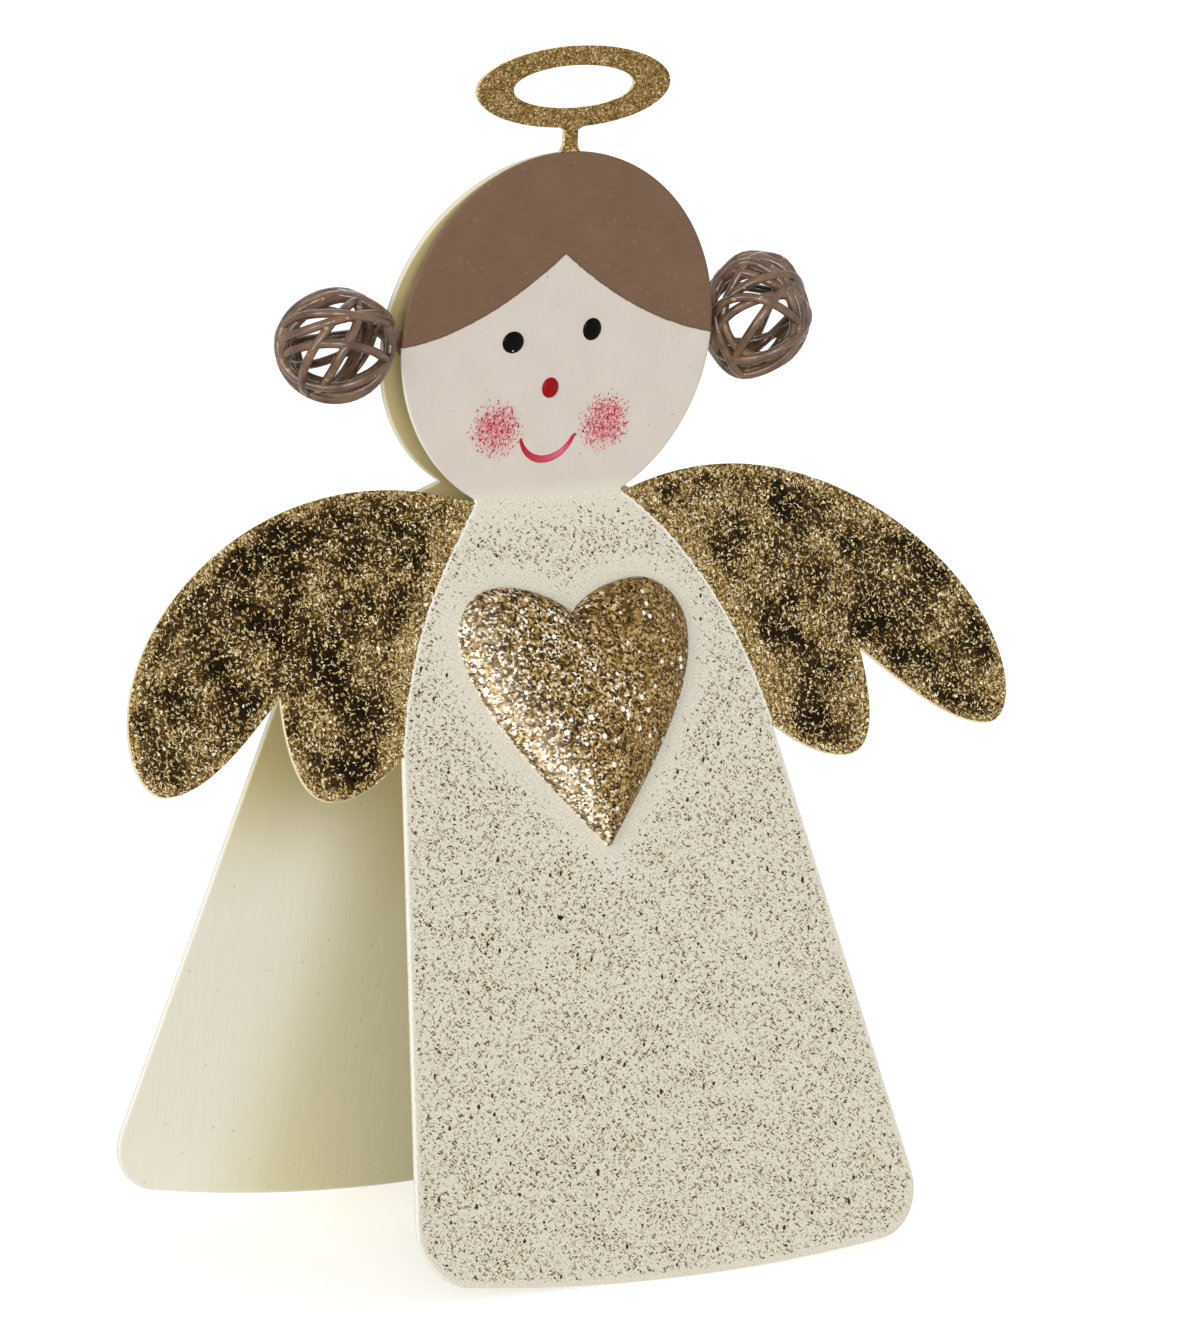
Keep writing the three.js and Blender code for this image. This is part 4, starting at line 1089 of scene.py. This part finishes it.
def lip_red():
    """Dark at both ends of the stroke, thin and pink towards the right, with a darker outline."""
    p = Paint("lip_red", roughness=0.4, specular_ior_level=0.2)
    along, across, grain = p.attribute("along"), p.attribute("across"), p.noise(p.place(), 0.5, 3)
    stroke = p.ramp(p.linear(grain, 0.16, p.math("SUBTRACT", along, 0.08)), [
        (0.0, (150, 16, 32)),
        (0.18, (184, 30, 52)),
        (0.5, (206, 66, 84)),
        (0.75, (212, 104, 128)),
        (0.9, (190, 46, 66)),
        (1.0, (142, 10, 22)),
    ])
    outline = p.times(p.step(across, 0.5, 1.0), 0.7)
    return p.set(base_color=p.mix(outline, stroke, (160, 20, 40)), normal=p.bump(grain, 0.01))


def bare_metal(name, dark, light, roughness, stretch):
    p = Paint(name, metallic=1.0)
    at = p.place()
    brushed = p.noise(p.stretched(at, 0.25, stretch, 0), 1, 4)
    cloud = p.noise(at, 2.5, 3)
    return p.set(
        base_color=p.mix(p.step(cloud, 0.3, 0.7), dark, light),
        roughness=p.step(brushed, 0.2, 0.8, roughness - 0.08, roughness + 0.12),
        normal=p.bump(brushed, 0.02),
    )


paints = [head_paint(), body_paint(), cream_paint("rear_cream", (221, 211, 172), (226, 217, 180))]


def front_choice(corners):
    """The number of a face's paint: 0 on the head, 1 on the dress and the wings, 2 on the rear."""
    flat = front_flat[corners]
    if front_depth[corners].min() > SHEET - NEAR:
        return 2
    if flat[:, 1].mean() > 0 and beyond_root(flat).max() < 0:
        return 0
    return 1


set_faces(front, paints, front_choice)
wire_brown = wire_paint()
zinc = bare_metal("zinc_plate", (168, 171, 174), (196, 198, 200), 0.34, 6)
steel = bare_metal("spring_steel", (140, 142, 146), (170, 172, 176), 0.28, 1)
plain = ((226, 220, 198), (230, 225, 206))
# The back sheet's inner face carries painted shade and a painted lit strip
coats = [cream_paint("inner_cream_painted_shade", *plain, (217, 210, 176)), cream_paint("plain_cream", *plain)]
set_faces(back, coats, lambda corners: int(back_depth[corners].min() > SHEET - NEAR))
halo.data.materials.append(halo_gold())
heart.data.materials.append(glitter())
for piece in eyes:
    piece.data.materials.append(gloss(piece.name + "_black", (3, 3, 3), (8, 7, 6), 0.2, 0.06))
nose.data.materials.append(gloss("nose_red", (136, 4, 10), (150, 8, 16), 0.35, 0.12))
# The glint's material is a painted highlight
glint.data.materials.append(gloss("eye_glint_painted_highlight", (244, 244, 242), (252, 252, 250), 0.3, 0.3))
mouth.data.materials.append(lip_red())
for piece in buns:
    piece.data.materials.append(wire_brown)
spring.data.materials.append(steel)
for node, metal in (("front_bracket", zinc), ("back_bracket", zinc), ("hinge_pin", zinc),
                    ("left_bun_solder", wire_brown), ("right_bun_solder", wire_brown)):
    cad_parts[node].data.materials[0] = metal


# What each piece rides on and stands for, and the name of its finish

for piece, node, finish in ((front, "front_panel", "cream_paint"), (halo, "halo", "gold_glitter"),
                            (heart, "heart", "gold_glitter"), (buns[0], "left_bun", "brown_paint"),
                            (buns[1], "right_bun", "brown_paint")):
    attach(piece, "front")
    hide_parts(node)
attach(back, "back")
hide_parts("back_panel")
for piece in (*eyes, glint, nose, mouth):
    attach(piece, "front")
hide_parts("torsion_spring")
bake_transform(spring)


# Floor, light and camera

def seen_rays(tree):
    """1 for rays from the camera or off metal and glass, which show the surroundings, and 0 for others."""
    rays = tree.nodes.new("ShaderNodeLightPath")
    seen = rays.outputs["Is Camera Ray"]
    for name in ("Is Glossy Ray", "Is Transmission Ray"):
        either = tree.nodes.new("ShaderNodeMath")
        either.operation = "MAXIMUM"
        tree.links.new(seen, either.inputs[0])
        tree.links.new(rays.outputs[name], either.inputs[1])
        seen = either.outputs[0]
    return seen


def floor():
    corners = np.array([(-1, -1, 0), (1, -1, 0), (1, 1, 0), (-1, 1, 0)]) * FLOOR_HALF
    plane = mesh_object("floor", corners, [(0, 1, 2, 3)])
    p = Paint("pale_floor", base_color=srgb(248, 248, 247), roughness=0.9)
    p.set(emission_color=(1, 1, 1, 1), emission_strength=p.times(seen_rays(p.tree), FLOOR_GLOW))
    plane.data.materials.append(p.material)


def sun(name, azimuth, elevation, strength, spread):
    """Soft light from a compass direction: azimuth 0 comes from the front and 90 from the right."""
    lamp = bpy.data.lights.new(name, "SUN")
    lamp.energy = strength
    lamp.angle = radians(spread)
    obj = bpy.data.objects.new(name, lamp)
    a, e = radians(azimuth), radians(elevation)
    towards = Vector((sin(a) * cos(e), -cos(a) * cos(e), sin(e)))
    obj.rotation_euler = towards.to_track_quat("Z", "Y").to_euler()
    bpy.context.scene.collection.objects.link(obj)


def room_light():
    """Even light, which is white where it shows."""
    world = bpy.data.worlds.new("studio")
    world.use_nodes = True
    bpy.context.scene.world = world
    tree = world.node_tree
    background = tree.nodes["Background"]
    background.inputs["Color"].default_value = (1, 1, 1, 1)
    level = tree.nodes.new("ShaderNodeMath")
    level.operation = "MULTIPLY_ADD"
    tree.links.new(seen_rays(tree), level.inputs[0])
    level.inputs[1].default_value = 1 - ROOM_LEVEL
    level.inputs[2].default_value = ROOM_LEVEL
    tree.links.new(level.outputs[0], background.inputs["Strength"])


def camera():
    """Stands where the photograph was taken from, as the outline's fit says; lengths are photo pixels."""
    aim_height, fit_y = 600, -8.507 * MM
    pixel, focal, yaw, pitch, roll = 0.15 * MM, 12682.4, radians(34.02), radians(8.64), radians(0.77)
    wide, high, middle_x, middle_y = 1180, 1333, 564.1, 650.99
    forward = Vector((sin(yaw) * cos(pitch), cos(yaw) * cos(pitch), -sin(pitch)))
    right = Vector((cos(yaw), -sin(yaw), 0))
    up = right.cross(forward)
    across = right * cos(roll) + up * sin(roll)
    upward = up * cos(roll) - right * sin(roll)
    spot = Vector((0, 0, aim_height)) - forward * focal
    spot += upward * (middle_y - high / 2) - across * (middle_x - wide / 2)
    data = bpy.data.cameras.new("photo_camera")
    data.sensor_fit = "VERTICAL"
    data.sensor_height = 36
    data.lens = focal * data.sensor_height / high
    data.clip_end = 100
    obj = bpy.data.objects.new("photo_camera", data)
    turn = Matrix((across, upward, -forward)).transposed().to_4x4()
    obj.matrix_world = Matrix.Translation(spot * pixel + Vector((0, fit_y, 0))) @ turn
    bpy.context.scene.collection.objects.link(obj)
    bpy.context.scene.camera = obj


floor()
sun("key", azimuth=-26, elevation=10, strength=1.35, spread=24)
sun("side", azimuth=-62, elevation=10, strength=0.95, spread=24)
sun("back", azimuth=155, elevation=30, strength=0.55, spread=40)
room_light()
camera()
bpy.context.scene.view_settings.view_transform = "Standard"
